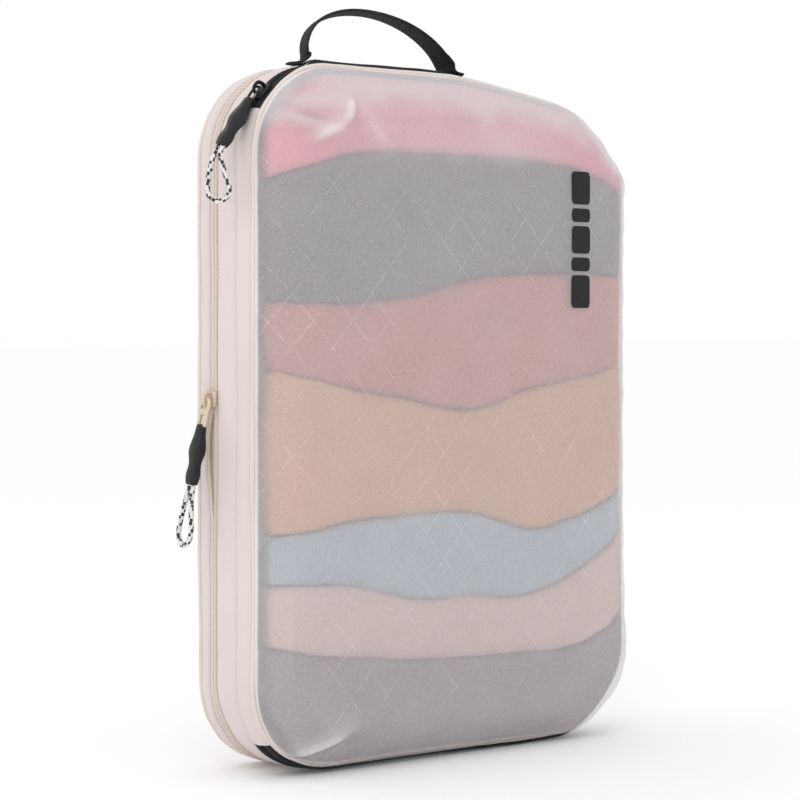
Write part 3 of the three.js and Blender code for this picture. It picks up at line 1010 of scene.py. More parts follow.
@dataclass(frozen=True)
class Dresser:
    """Gives each piece its finish, sets it on its body and hides the frame pieces that it stands for."""

    outline: Outline
    finishes: Finishes

    def dress(
        self, piece: Piece, material: Material, slot: str, body: str | None,
        nodes: Sequence[str] = (),
    ) -> Piece:
        """Finishes one piece.

        Args:
            piece: The piece.
            material: Its material.
            slot: Not used.
            body: The body that it rides on. None for a piece that is set on no body.
            nodes: The frame's pieces that it replaces.

        Returns:
            The piece.
        """
        piece.data.materials.clear()
        piece.data.materials.append(material)
        if body is not None:
            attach(piece, body)
        if nodes:
            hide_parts(*nodes)
        log.info("made %s on %s", piece.name, body or "two bodies")
        return piece

    def keep(self, node: str, material: Material) -> None:
        """Gives one of the frame's own pieces a material."""
        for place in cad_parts[node].material_slots:
            place.material = material
        log.info("kept %s", node)


# ---------------------------------------------------------------- cloth


@dataclass(frozen=True)
class Puffing:
    """How cloth is filled with air by simulation, and how far it may go."""

    pressure: float = 4.0
    grow: float = 0.02
    stiffness: float = 12.0
    bending: float = 0.3
    frames: int = 20
    outward: float = 0.003
    inward: float = 0.001

    def run(self, piece: Piece, pinned: Sequence[int] = ()) -> None:
        """Simulates the cloth and keeps its result in the mesh.

        Args:
            piece: The cloth.
            pinned: Points that stay where they are.
        """
        mesh = piece.data
        rest = [vertex.co.copy() for vertex in mesh.vertices]
        normals = [vertex.normal.copy() for vertex in mesh.vertices]
        modifier = piece.modifiers.new("puff", "CLOTH")
        settings = modifier.settings
        settings.quality = 5
        settings.mass = 0.2
        settings.tension_stiffness = self.stiffness
        settings.compression_stiffness = self.stiffness
        settings.shear_stiffness = self.stiffness * 0.4
        settings.bending_stiffness = self.bending
        settings.use_pressure = True
        settings.uniform_pressure_force = self.pressure
        settings.shrink_min = -self.grow
        settings.effector_weights.gravity = 0.0
        if pinned:
            group = piece.vertex_groups.new(name="sewn")
            group.add(list(pinned), 1.0, "REPLACE")
            settings.vertex_group_mass = "sewn"
        modifier.point_cache.frame_end = self.frames
        for number in range(1, self.frames + 1):
            bpy.context.scene.frame_set(number)
        shaped = piece.evaluated_get(bpy.context.evaluated_depsgraph_get()).to_mesh()
        moved = [vertex.co.copy() for vertex in shaped.vertices]
        piece.modifiers.remove(modifier)
        bpy.context.scene.frame_set(1)
        if pinned:
            piece.vertex_groups.clear()
        for vertex, start, normal, end in zip(mesh.vertices, rest, normals, moved):
            step = end - start
            out = step.dot(normal)
            along = step - normal * out
            room = self.outward if out > 0 else self.inward
            out = room * math.tanh(out / room)
            reach = along.length
            if reach > self.outward:
                along *= self.outward / reach
            vertex.co = start + normal * out + along
        mesh.update()


def subdivided(piece: Piece, levels: int = 1) -> None:
    """Smooths a mesh with a subdivision surface and keeps the result."""
    modifier = piece.modifiers.new("smooth", "SUBSURF")
    modifier.levels = levels
    modifier.boundary_smooth = "PRESERVE_CORNERS"
    keep_result(piece)


def keep_result(piece: Piece) -> None:
    """Applies a piece's modifiers.

    Args:
        piece: The piece, whose mesh is replaced by what they make of it.
    """
    shaped = bpy.data.meshes.new_from_object(piece.evaluated_get(bpy.context.evaluated_depsgraph_get()))
    piece.modifiers.clear()
    old = piece.data
    piece.data = shaped
    bpy.data.meshes.remove(old)
    piece.data.polygons.foreach_set("use_smooth", [True] * len(piece.data.polygons))


@dataclass(frozen=True)
class Crease:
    """One fold in a panel, from one point in the front view to another."""

    start: Pair
    end: Pair
    height: float
    width: float

    def at(self, x: float, z: float) -> float:
        """How far the fold lifts the cloth.

        Args:
            x: Where a point in the front view is across.
            z: Its height.

        Returns:
            The lift, at the fold's own height along its middle and fading to both sides.
        """
        ax, az = self.start
        bx, bz = self.end
        length = math.hypot(bx - ax, bz - az)
        along = ((x - ax) * (bx - ax) + (z - az) * (bz - az)) / length
        across = ((x - ax) * (bz - az) - (z - az) * (bx - ax)) / length
        beyond = max(0.0, -along, along - length)
        share = min(max(along / length, 0.0), 1.0)
        swell = 0.35 + 0.65 * math.sin(math.pi * share) ** 0.7 if 0 < share < 1 else 0.35
        return self.height * swell * math.exp(-((across / self.width) ** 2)) * math.exp(
            -((beyond / (2.5 * self.width)) ** 2)
        )


@dataclass
class CrownedPanel:
    """Cloth panel that rises from a sewn rim over a rounded edge to a low dome."""

    outline: Outline
    rim_y: float
    outward: int
    rise: float
    run: float
    dome: float
    rim_inset: float = 0.0008
    tight_corner: float = 0.006
    spacing: float = 0.0045
    creases: tuple[Crease, ...] = ()
    swells: tuple[Crease, ...] = ()
    ripple: float = 0.0005
    hitch: float = 0.0
    full_fold: float = 0.0040

    def depth(self, inset: float) -> float:
        """How far the panel stands out at a distance in from its rim."""
        half = self.outline.width / 2
        edge = min(max(inset / self.run, 0.0), 1.0)
        middle = min(max((inset - self.run) / (half - self.run), 0.0), 1.0)
        return self.rise * math.sqrt(1 - (1 - edge) ** 2) + self.dome * math.sin(middle * math.pi / 2)

    def profile(self) -> list[Pair]:
        """Insets at even distances over the surface, each with its inset on the flat cloth."""
        half = self.outline.width / 2 - self.rim_inset
        insets = [self.run * (1 - math.cos(math.pi / 2 * k / 60)) for k in range(61)]
        insets += [self.run + (half - self.run) * k / 60 for k in range(1, 61)]
        reach = [0.0]
        for a, b in zip(insets, insets[1:]):
            reach.append(reach[-1] + math.hypot(b - a, self.depth(b) - self.depth(a)))
        rings = round(reach[-1] / self.spacing)
        found = []
        for ring in range(rings + 1):
            wanted = reach[-1] * ring / rings
            k = max(1, next(j for j, distance in enumerate(reach) if distance >= wanted - 1e-9))
            share = (wanted - reach[k - 1]) / (reach[k] - reach[k - 1])
            found.append((insets[k - 1] + (insets[k] - insets[k - 1]) * share, half - (reach[-1] - wanted)))
        return found

    def side_point(self, inset: float, side: int, share: float) -> Pair:
        """A point on one side of an inner outline.

        Args:
            inset: Distance in from the outline.
            side: 0 for the bottom, 1 right, 2 top, 3 left.
            share: 0 to 1, from left to right or from bottom to top.

        Returns:
            X and Z.
        """
        half_x = self.outline.width / 2 - inset
        half_z = self.outline.height / 2 - inset
        radius = max(self.outline.radius - inset, min(self.tight_corner, half_x))
        level = side in (0, 2)
        straight = (half_x if level else half_z) - radius
        bend = radius * math.pi / 4
        travel = (share * 2 - 1) * (straight + bend)
        turn = max(abs(travel) - straight, 0.0) / radius if radius > 1e-6 else 0.0
        along = math.copysign(min(abs(travel), straight) + radius * math.sin(turn), travel)
        out = (half_z if level else half_x) - radius * (1 - math.cos(turn))
        sign = 1 if side in (1, 2) else -1
        return (along, self.outline.height / 2 + sign * out) if level else (
            sign * out, self.outline.height / 2 + along
        )

    def build(self, name: str, puffing: Puffing) -> Piece:
        """Makes the panel.

        Args:
            name: The piece's name.
            puffing: How its cloth is blown out.

        Returns:
            The panel, as one sheet with its rim fixed.
        """
        profile = self.profile()
        rings = len(profile) - 1
        wide = 2 * rings
        high = wide + round((self.outline.height - self.outline.width) / self.spacing)
        points, flat, rims, pinned = [], [], [], []
        for j in range(high + 1):
            for i in range(wide + 1):
                ring = min(i, wide - i, j, high - j)
                inset, flat_inset = profile[ring]
                if j in (ring, high - ring) and wide > 2 * ring:
                    side, share = (0 if j == ring else 2), (i - ring) / (wide - 2 * ring)
                else:
                    side, share = (3 if i == ring else 1), (j - ring) / (high - 2 * ring)
                x, z = self.side_point(self.rim_inset + inset, side, share)
                x, z = self.outline.settled(x, z)
                z += self.hitch * max(0.0, 1 - z / 0.04) ** 2
                points.append((x, self.rim_y + self.outward * self.depth(inset), z))
                flat.append(self.side_point(self.rim_inset + flat_inset, side, share))
                rims.append(ring * self.spacing)
                if ring == 0:
                    pinned.append(len(points) - 1)
        faces = []
        for j in range(high):
            for i in range(wide):
                a = j * (wide + 1) + i
                quad = (a, a + 1, a + wide + 2, a + wide + 1)
                faces.append(quad if self.outward < 0 else quad[::-1])
        piece = make_mesh(name, points, faces, [[flat[k] for k in face] for face in faces], 180.0)
        rim = piece.data.attributes.new("rim", "FLOAT", "POINT")
        rim.data.foreach_set("value", rims)
        puffing.run(piece, pinned)
        subdivided(piece)
        self.shape(piece)
        return piece

    def shape(self, piece: Piece) -> None:
        """Adds the swells, creases and fine ripples.

        Args:
            piece: The panel, which gets the creases as its fold attribute too.
        """
        normals = [vertex.normal.copy() for vertex in piece.data.vertices]
        rims = [entry.value for entry in piece.data.attributes["rim"].data]
        lines = []
        for vertex, normal, inset in zip(piece.data.vertices, normals, rims):
            x, _, z = vertex.co
            free = min(inset / 0.012, 1.0)
            lift = sum(fold.at(x, z) for fold in (*self.creases, *self.swells))
            lines.append(
                min(max(sum(fold.at(x, z) / self.full_fold for fold in self.creases), -1.0), 1.0) * free
            )
            soft = noise.noise(Vector((x * 16, 3.1, z * 11))) * self.ripple * 1.6
            fine = noise.noise(Vector((x * 60, 7.7, z * 42))) * self.ripple * 0.7
            pucker = noise.noise(Vector((x * 130, 1.7, z * 130))) * self.ripple * 1.6 * max(
                0.0, 1 - inset / 0.045
            )
            vertex.co += normal * (lift + soft + fine + pucker) * free
        # The fold attribute drives the frosted finish's painted highlight on crests and painted shade in
        # valleys.
        piece.data.attributes.new("fold", "FLOAT", "POINT").data.foreach_set("value", lines)
        piece.data.update()

    def flat_size(self) -> tuple[float, float, float]:
        """Width, height and area of the flat cut."""
        _, flat_inset = self.profile()[0]
        grown = self.rim_inset + flat_inset
        width, height = self.outline.width - 2 * grown, self.outline.height - 2 * grown
        radius = self.outline.radius - grown
        return width, height, width * height - (4 - math.pi) * radius ** 2


# ---------------------------------------------------------------- sub-assemblies


@dataclass
class Bands:
    """Depths of the cloth bands, read from the frame."""

    lid_tape: Pair = field(default_factory=lambda: depths("lid_zip_tape"))
    body_tape: Pair = field(default_factory=lambda: depths("body_zip_tape"))
    front_gusset: Pair = field(default_factory=lambda: depths("front_gusset"))
    front_tape: Pair = field(default_factory=lambda: depths("front_compression_tape"))
    rear_tape: Pair = field(default_factory=lambda: depths("rear_compression_tape"))
    rear_gusset: Pair = field(default_factory=lambda: depths("rear_gusset"))
    lid_welt: Pair = field(default_factory=lambda: depths("lid_welt"))
    rear_welt: Pair = field(default_factory=lambda: depths("rear_welt"))

    @property
    def main_zip(self) -> float:
        """Depth of the middle of the main zip."""
        return (self.lid_tape[1] + self.body_tape[0]) / 2

    @property
    def compression_zip(self) -> float:
        """Depth of the middle of the compression zip."""
        return (self.front_tape[1] + self.rear_tape[0]) / 2


def depths(node: str) -> Pair:
    """Front and back depth of one of the frame's pieces."""
    low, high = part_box(node)
    return low.y, high.y


@dataclass
class Slackness:
    """How the side cloth gives: puckers at the corners, and the compression zip parted under its slider."""

    outline: Outline
    bands: Bands
    slider_height: float = 0.190
    parted_length: float = 0.056
    parted_gap: float = 0.0084
    lip: float = 0.0036
    pucker: float = 0.0008
    roll: float = 0.0043
    roll_margin: float = 0.004
    opening_reach: float = 0.0090
    slider_tail: float = 0.006
    hitch: float = 0.0022
    tuck_under: float = 0.0030
    pressed: float = 0.0013
    flat_until: float = 0.086
    flat_fade: float = 0.008

    def parted(self, distance: float) -> float:
        """How far the compression zip stands open at a distance round."""
        start = self.outline.down_left(self.slider_height - self.slider_tail)
        share = (distance - start) / self.parted_length
        if not 0 < share < 1:
            return 0.0
        return self.parted_gap * math.sin(math.pi * share ** 0.75) * (1 - 0.25 * share)

    def rolled(self, distance: float, y: float) -> float:
        """How far the top rises towards the back edge of the main zip, which faces the front there.

        Args:
            distance: Distance round the outline.
            y: Depth.

        Returns:
            The rise.
        """
        x, _, _, out_z = self.outline.at(distance)
        front, crest = self.bands.lid_welt[1], self.bands.body_tape[1]
        back = self.bands.front_gusset[1] - self.roll_margin
        share = (y - front) / (crest - front) if y < crest else (back - y) / (back - crest)
        share = min(max(share, 0.0), 1.0)
        level = 1 - 0.45 * ease(x / (self.outline.across / 2))
        level *= ease((x + self.flat_until) / self.flat_fade)
        return self.roll * level * max(0.0, out_z) ** 2 * share ** (1.5 if y < crest else 1.2)

    def hitched(self, distance: float, y: float) -> Pair:
        """How the lid's edge rides up along the bottom and lets its tape show under it.

        Args:
            distance: Distance round the outline.
            y: Depth.

        Returns:
            How far out and how far back a point moves.
        """
        _, _, _, out_z = self.outline.at(distance)
        under = max(0.0, -out_z) ** 2
        front, back = self.bands.lid_tape
        if y < front:
            return -self.hitch * under, 0.0
        return 0.0, -self.tuck_under * under * max(0.0, (back - y) / (back - front))

    def gathers(self, distance: float) -> float:
        """1 in the corners, where the cloth gathers, and less along the straights."""
        _, _, out_x, out_z = self.outline.at(distance)
        return 0.3 + 0.7 * abs(2 * out_x * out_z)

    def __call__(self, distance: float, y: float) -> Pair:
        """How a point of the side cloth is moved.

        Args:
            distance: Distance round the outline.
            y: Depth.

        Returns:
            How far out and how far back.
        """
        _, _, _, out_z = self.outline.at(distance)
        pressed = self.pressed * max(0.0, -out_z) ** 6
        middle = self.bands.compression_zip
        ripple = noise.noise(Vector((distance * 85, y * 60, 2.3))) * self.pucker * self.gathers(distance)
        slow = noise.noise(Vector((distance * 14, y * 70, 8.1))) * self.pucker * 1.6
        gap = self.parted(distance)
        near = max(0.0, 1 - abs(y - middle) / self.opening_reach)
        push = gap * near * (-0.6 if y < middle else 0.4)
        lift = self.lip * near * (gap / self.parted_gap) * (1.0 if y < middle else 0.3)
        inward, forward = self.hitched(distance, y)
        return ripple + slow + lift + self.rolled(distance, y) + inward - pressed, push + forward


@dataclass
class StitchRow:
    """A row of sewn stitches along the outline."""

    name: str
    y: float
    above: float = 0.0001
    pitch: float = 0.0027
    length: float = 0.0018
    radius: float = 0.00020

    def build(self, outline: Outline, start: float, stop: float, shift: Shift = still) -> Piece:
        """Makes the row.

        Args:
            outline: The outline that it follows.
            start: Distance round where it starts.
            stop: Distance round where it ends.
            shift: How the cloth under it is moved.

        Returns:
            All its stitches, as one piece.
        """
        points, faces = [], []
        for k in range(int((stop - start) / self.pitch)):
            middle = start + (k + 0.5) * self.pitch
            base = len(points)
            for along, swell in ((-0.5, 0.0), (-0.28, 1.0), (0.28, 1.0), (0.5, 0.0)):
                distance = middle + along * self.length
                out, back = shift(distance, self.y)
                corners = ((0, 0),) if swell == 0 else ((1, 0), (0, 1), (-1, 0), (0, -1))
                for across, lift in corners:
                    rise = self.above + out + lift * self.radius - (self.radius if swell == 0 else 0)
                    points.append(outline.point(distance, -rise, self.y + back + across * self.radius))
            for j in range(4):
                m = (j + 1) % 4
                faces.append((base, base + 1 + j, base + 1 + m))
                faces.append((base + 1 + j, base + 5 + j, base + 5 + m, base + 1 + m))
                faces.append((base + 9, base + 5 + m, base + 5 + j))
        return make_mesh(self.name, points, faces, None, 80.0)


@dataclass
class CoilTeeth:
    """One half of a coil zip: small bent teeth side by side under the tape."""

    name: str
    near: float
    far: float
    inset: float = 0.0015
    thickness: float = 0.0014
    pitch: float = 0.0014

    def build(
        self, outline: Outline, start: float, stop: float, offset: float = 0.0, shift: Shift = still
    ) -> Piece:
        """Makes the teeth.

        Args:
            outline: The outline that they follow.
            start: Distance round where they start.
            stop: Distance round where they end.
            offset: Share of a pitch that the teeth are moved along, so that two halves mesh.
            shift: How the tape over them is moved.

        Returns:
            All the teeth, as one piece.
        """
        points, faces = [], []
        half = self.pitch * 0.3
        profile = ((self.near, 0.25), (self.near, 0.8), (self.far, 1.0), (self.far, 0.0))
        for k in range(int((stop - start) / self.pitch)):
            middle = start + (k + 0.5 + offset) * self.pitch
            base = len(points)
            for along in (-half, half):
                for y, share in profile:
                    out, back = shift(middle, y)
                    points.append(
                        outline.point(middle + along, self.inset - out + self.thickness * share, y + back)
                    )
            faces += [
                [base + j for j in quad]
                for quad in (
                    (0, 1, 2, 3), (7, 6, 5, 4), (0, 4, 5, 1), (1, 5, 6, 2), (2, 6, 7, 3), (3, 7, 4, 0)
                )
            ]
        return make_mesh(self.name, points, faces, None, 30.0)


def binding(dresser: Dresser, node: str, body: str, slack: Slackness) -> None:
    """Makes the tape that covers one seam inside.

    Args:
        dresser: Dresses the piece.
        node: The frame's piece that it replaces.
        body: The body that it rides on.
        slack: How the cloth over it gives.
    """
    section = [
        (inset + 0.0015, y)
        for inset, y in cloth_section(*depths(node), thickness=0.0006, puff=-0.0003, rows=4)
    ]
    dresser.dress(
        sweep(f"{node}_tape", dresser.outline, section, shift=slack), dresser.finishes.binding,
        "cream_trim", body, [node],
    )


@dataclass
class Shell:
    """Front gusset, body half of the main zip, hinge strip and front half of the compression zip."""

    dresser: Dresser
    bands: Bands
    slack: Slackness
    zip_from: float
    zip_to: float
    gusset_puff: float = 0.0010

    def build(self) -> None:
        """Makes the pieces that ride on the shell."""
        outline, finishes, dress = self.dresser.outline, self.dresser.finishes, self.dresser.dress
        bands, slack = self.bands, self.slack
        gusset = sweep(
            "gusset_front_cloth", outline,
            cloth_section(*bands.front_gusset, puff=self.gusset_puff, tuck=0.0004, rows=14), shift=slack,
        )
        dress(gusset, finishes.gusset, "off_white_fabric", "shell", ["front_gusset"])
        tape = sweep(
            "zip_tape_body", outline, cloth_section(*bands.body_tape, puff=0.0004, tuck=0.0005),
            self.zip_from, self.zip_to, slack,
        )
        dress(tape, finishes.zip_tape, "black_zip_tape", "shell", ["body_zip_tape"])
        self.hinge()
        front_tape = sweep(
            "compression_tape_front", outline,
            cloth_section(
                bands.front_tape[0], bands.front_tape[1] + 0.0004, puff=0.0003, tuck=0.0002, rows=6
            ),
            shift=slack,
        )
        dress(front_tape, finishes.pale_tape, "cream_trim", "shell", ["front_compression_tape"])
        self.stitches()
        self.coils()
        binding(self.dresser, "front_seam_binding", "shell", slack)
        self.dresser.keep("main_zip_top_stop", finishes.black_metal)
        self.dresser.keep("main_zip_bottom_stop", finishes.black_metal)

    def hinge(self) -> None:
        """Makes the sewn strip that the lid swings on."""
        outline, finishes = self.dresser.outline, self.dresser.finishes
        front, back = self.bands.lid_tape[0], self.bands.body_tape[1]
        gap = 0.0003
        section = cloth_section(front, back, puff=0.0009, tuck=0.0003, rows=12)
        strip = sweep(
            "lid_hinge_cloth", outline, section, self.zip_to - outline.length + gap, self.zip_from - gap,
            self.slack,
        )
        self.dresser.dress(strip, finishes.gusset, "off_white_fabric", None, ["lid_hinge_strip"])
        side = -outline.width / 2
        outline.height / 2
        outline.height / 2
        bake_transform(strip)

    def stitches(self) -> None:
        """Sews the compression tape, the zip tape and the hinge strip."""
        outline, finishes, dress = self.dresser.outline, self.dresser.finishes, self.dresser.dress
        coral = StitchRow("coral_stitches_front", self.bands.front_tape[0] + 0.0004, above=0.0003)
        dress(
            coral.build(outline, 0.0, outline.length, self.slack), finishes.coral_thread, "cream_trim",
            "shell",
        )
        pale = StitchRow("gusset_topstitches", self.bands.front_gusset[0] + 0.0012, above=0.0002)
        dress(
            pale.build(outline, self.zip_to - outline.length, self.zip_from, self.slack),
            finishes.pale_thread, "cream_trim", "shell",
        )
        black = StitchRow("zip_topstitches_body", self.bands.body_tape[1] - 0.0011, above=0.0001)
        dress(
            black.build(outline, self.zip_from, self.zip_to, self.slack), finishes.black_thread,
            "black_zip_tape", "shell",
        )

    def coils(self) -> None:
        """Makes the shell's halves of both coils."""
        outline, finishes, dress = self.dresser.outline, self.dresser.finishes, self.dresser.dress
        middle = self.bands.main_zip
        main = CoilTeeth("main_coil_body", middle - 0.0003, middle + 0.0017)
        dress(
            main.build(outline, self.zip_from, self.zip_to, shift=self.slack), finishes.black_coil,
            "black_coil", "shell", ["body_zip_coil"],
        )
        middle = self.bands.compression_zip
        front = CoilTeeth("compression_coil_front", middle + 0.0002, middle - 0.0012, pitch=0.0012)
        dress(
            front.build(outline, 0.0, outline.length, shift=self.slack), finishes.pale_coil, "cream_coil",
            "shell", ["front_compression_coil"],
        )


@dataclass
class Lid:
    """Frosted crowned panel with its welt and its half of the main zip."""

    dresser: Dresser
    bands: Bands
    slack: Slackness
    zip_from: float
    zip_to: float
    panel: Piece | None = None
    flat: tuple[float, float, float] = (0.0, 0.0, 0.0)
    mark_size: Pair = (0.0145, 0.074)
    bars: tuple[Pair, ...] = ((0.24, 1.0), (0.10, 1.0), (0.20, 1.0), (0.10, 1.0), (0.24, 1.0))
    bar_gap: float = 0.0022
    bar_corner: float = 0.0022
    ink_lift: float = 0.00022
    clear: float = 0.0044
    fade: float = 0.0130
    thickest: float = 0.80
    # Painted light on the top wall: how far cloth facing up is clouded whiter.
    top_painted_light: float = 0.56

    def build(self) -> None:
        """Makes the pieces that ride on the lid."""
        outline, finishes, dress = self.dresser.outline, self.dresser.finishes, self.dresser.dress
        tape = sweep(
            "zip_tape_lid", outline, cloth_section(*self.bands.lid_tape, puff=0.0004, tuck=0.0005),
            self.zip_from, self.zip_to, self.slack,
        )
        dress(tape, finishes.zip_tape, "black_zip_tape", "lid", ["lid_zip_tape"])
        front, back = self.bands.lid_welt
        welt = sweep(
            "welt_lid", outline,
            round_section(0.0010, (front + back) / 2, 0.0014, (back - front) / 2 + 0.0001),
            shift=self.slack,
        )
        dress(welt, finishes.trim, "cream_trim", "lid", ["lid_welt"])
        middle = self.bands.main_zip
        coil = CoilTeeth("main_coil_lid", middle + 0.0003, middle - 0.0017)
        dress(
            coil.build(outline, self.zip_from, self.zip_to, 0.5, self.slack), finishes.black_coil,
            "black_coil", "lid", ["lid_zip_coil"],
        )
        black = StitchRow("zip_topstitches_lid", self.bands.lid_tape[0] + 0.0011, above=0.0001)
        dress(
            black.build(outline, self.zip_from, self.zip_to, self.slack), finishes.black_thread,
            "black_zip_tape", "lid",
        )
        binding(self.dresser, "lid_seam_binding", "lid", self.slack)
        self.cloth()

    def close_over(self, pile: Sequence[Piece]) -> None:
        """Finishes the frosted panel over the folded clothes and prints its mark.

        Args:
            pile: The folded clothes.
        """
        self.haze(pile)
        subdivided(self.panel)
        self.dresser.dress(self.panel, self.dresser.finishes.lid, "frosted_ripstop", "lid", ["lid_panel"])
        self.mark()

    def surface(self) -> BVHTree:
        """The frosted panel, for finding places on it."""
        mesh = self.panel.data
        return BVHTree.FromPolygons([v.co for v in mesh.vertices], [f.vertices for f in mesh.polygons])

    def cloth(self) -> None:
        """Makes the frosted panel, blown out by simulation and then creased."""
        outline = self.dresser.outline
        left, top = -outline.width / 2, outline.height
        creases = (
            Crease((left + 0.016, top - 0.0244), (left + 0.038, top - 0.0305), -0.0042, 0.0026),
            Crease((left + 0.0475, top - 0.019), (left + 0.042, top - 0.030), 0.0048, 0.0030),
            Crease((left + 0.041, top - 0.0305), (left + 0.024, top - 0.041), 0.0050, 0.0030),
            Crease((left + 0.053, top - 0.026), (left + 0.069, top - 0.044), 0.0026, 0.0030),
            Crease((left + 0.0085, 0.0095), (left + 0.043, 0.0225), 0.0056, 0.0028),
            Crease((left + 0.014, 0.005), (left + 0.046, 0.016), -0.0034, 0.0034),
            Crease((left + 0.014, 0.050), (left + 0.012, 0.092), 0.0026, 0.0030),
            Crease((left + 0.030, 0.030), (left + 0.060, 0.026), 0.0014, 0.0036),
            Crease((-left - 0.012, 0.030), (-left - 0.034, 0.018), 0.0020, 0.0030),
            Crease((-left - 0.010, 0.044), (-left - 0.022, 0.026), -0.0016, 0.0030),
            Crease((-left - 0.016, top - 0.046), (-left - 0.036, top - 0.064), 0.0018, 0.0034),
            Crease((0.0, top - 0.024), (0.030, top - 0.052), 0.0010, 0.0060),
        )
        swells = (
            Crease((left + 0.050, top - 0.034), (-left - 0.045, top - 0.038), 0.0026, 0.016),
            Crease((left + 0.012, top - 0.016), (left + 0.040, top - 0.012), -0.0050, 0.011),
            Crease((left + 0.012, 0.004), (left + 0.050, 0.006), -0.0030, 0.009),
        )
        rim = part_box("lid_panel")[1].y
        panel = CrownedPanel(
            outline, rim, -1, 0.017, 0.030, 0.005, creases=creases, swells=swells, hitch=self.slack.hitch
        )
        self.panel = panel.build("lid_frosted_cloth", Puffing(0.5, 0.012, 12.0, 0.2, 20, 0.0026, 0.0010))
        self.flat = panel.flat_size()

    def haze(self, pile: Sequence[Piece]) -> None:
        """Clouds the cloth where the clothes stand away from it, and paints light on the top wall, where
        cloth facing up is clouded whiter as if lit from above.

        Args:
            pile: The folded clothes.
        """
        trees = [
            BVHTree.FromPolygons([v.co for v in p.data.vertices], [f.vertices for f in p.data.polygons])
            for p in pile
        ]
        mesh = self.panel.data
        clouding = []
        for vertex in mesh.vertices:
            reach = min(tree.find_nearest(vertex.co)[3] for tree in trees)
            # Painted light: cloth facing up is clouded whiter for light falling from above, so the shaded
            # inside does not show through the top wall.
            top_light = self.top_painted_light * ease((vertex.normal.z - 0.12) / 0.5)
            clouding.append(max(min(max((reach - self.clear) / self.fade, 0.0), 1.0), top_light))
        neighbours: list[list[int]] = [[] for _ in mesh.vertices]
        for edge in mesh.edges:
            a, b = edge.vertices
            neighbours[a].append(b)
            neighbours[b].append(a)
        for _ in range(3):
            clouding = [
                (own + sum(clouding[k] for k in near) / len(near)) / 2
                for own, near in zip(clouding, neighbours)
            ]
        layer = mesh.attributes.new("haze", "FLOAT", "POINT")
        layer.data.foreach_set("value", [share ** 0.8 * self.thickest for share in clouding])

    def mark(self) -> None:
        """Prints a plain column of rounded bars where the cube has its mark."""
        low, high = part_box("lid_print")
        tree = self.surface()
        middle_x, middle_z = (low.x + high.x) / 2, (low.z + high.z) / 2
        width, height = self.mark_size
        points, faces = [], []
        top = middle_z + height / 2
        for length, share in self.bars:
            bottom = top - length * height
            self.bar(points, faces, tree, middle_x, (bottom + top) / 2, width * share / 2, (top - bottom) / 2)
            top = bottom - self.bar_gap
        piece = make_mesh("lid_mark", points, faces, None, 60.0)
        self.dresser.dress(piece, self.dresser.finishes.print, "black_print", "lid", ["lid_print"])

    def bar(
        self, points: list[Vector], faces: list[Sequence[int]], tree: BVHTree, x: float, z: float,
        half_x: float, half_z: float,
    ) -> None:
        """Adds one rounded bar that lies on the cloth.

        Args:
            points: The mark's points so far.
            faces: The mark's faces so far.
            tree: The cloth.
            x: Middle of the bar.
            z: Middle of the bar.
            half_x: Half its width.
            half_z: Half its height.
        """
        columns, rows = 10, max(3, round(half_z * 2 / 0.0025))
        base = len(points)
        for j in range(rows + 1):
            for i in range(columns + 1):
                a, b = 2 * i / columns - 1, 2 * j / rows - 1
                radius = min(self.bar_corner, half_x, half_z)
                over_x = max(abs(a * half_x) - (half_x - radius), 0.0)
                over_z = max(abs(b * half_z) - (half_z - radius), 0.0)
                pull = max(1.0, math.hypot(over_x, over_z) / radius) if over_x and over_z else 1.0
                px = x + math.copysign(abs(a * half_x) - over_x + over_x / pull, a)
                pz = z + math.copysign(abs(b * half_z) - over_z + over_z / pull, b)
                hit = tree.ray_cast(Vector((px, -0.2, pz)), Vector((0, 1, 0)))[0]
                points.append(hit - Vector((0, self.ink_lift, 0)))
        for j in range(rows):
            for i in range(columns):
                a = base + j * (columns + 1) + i
                faces.append((a, a + 1, a + columns + 2, a + columns + 1))


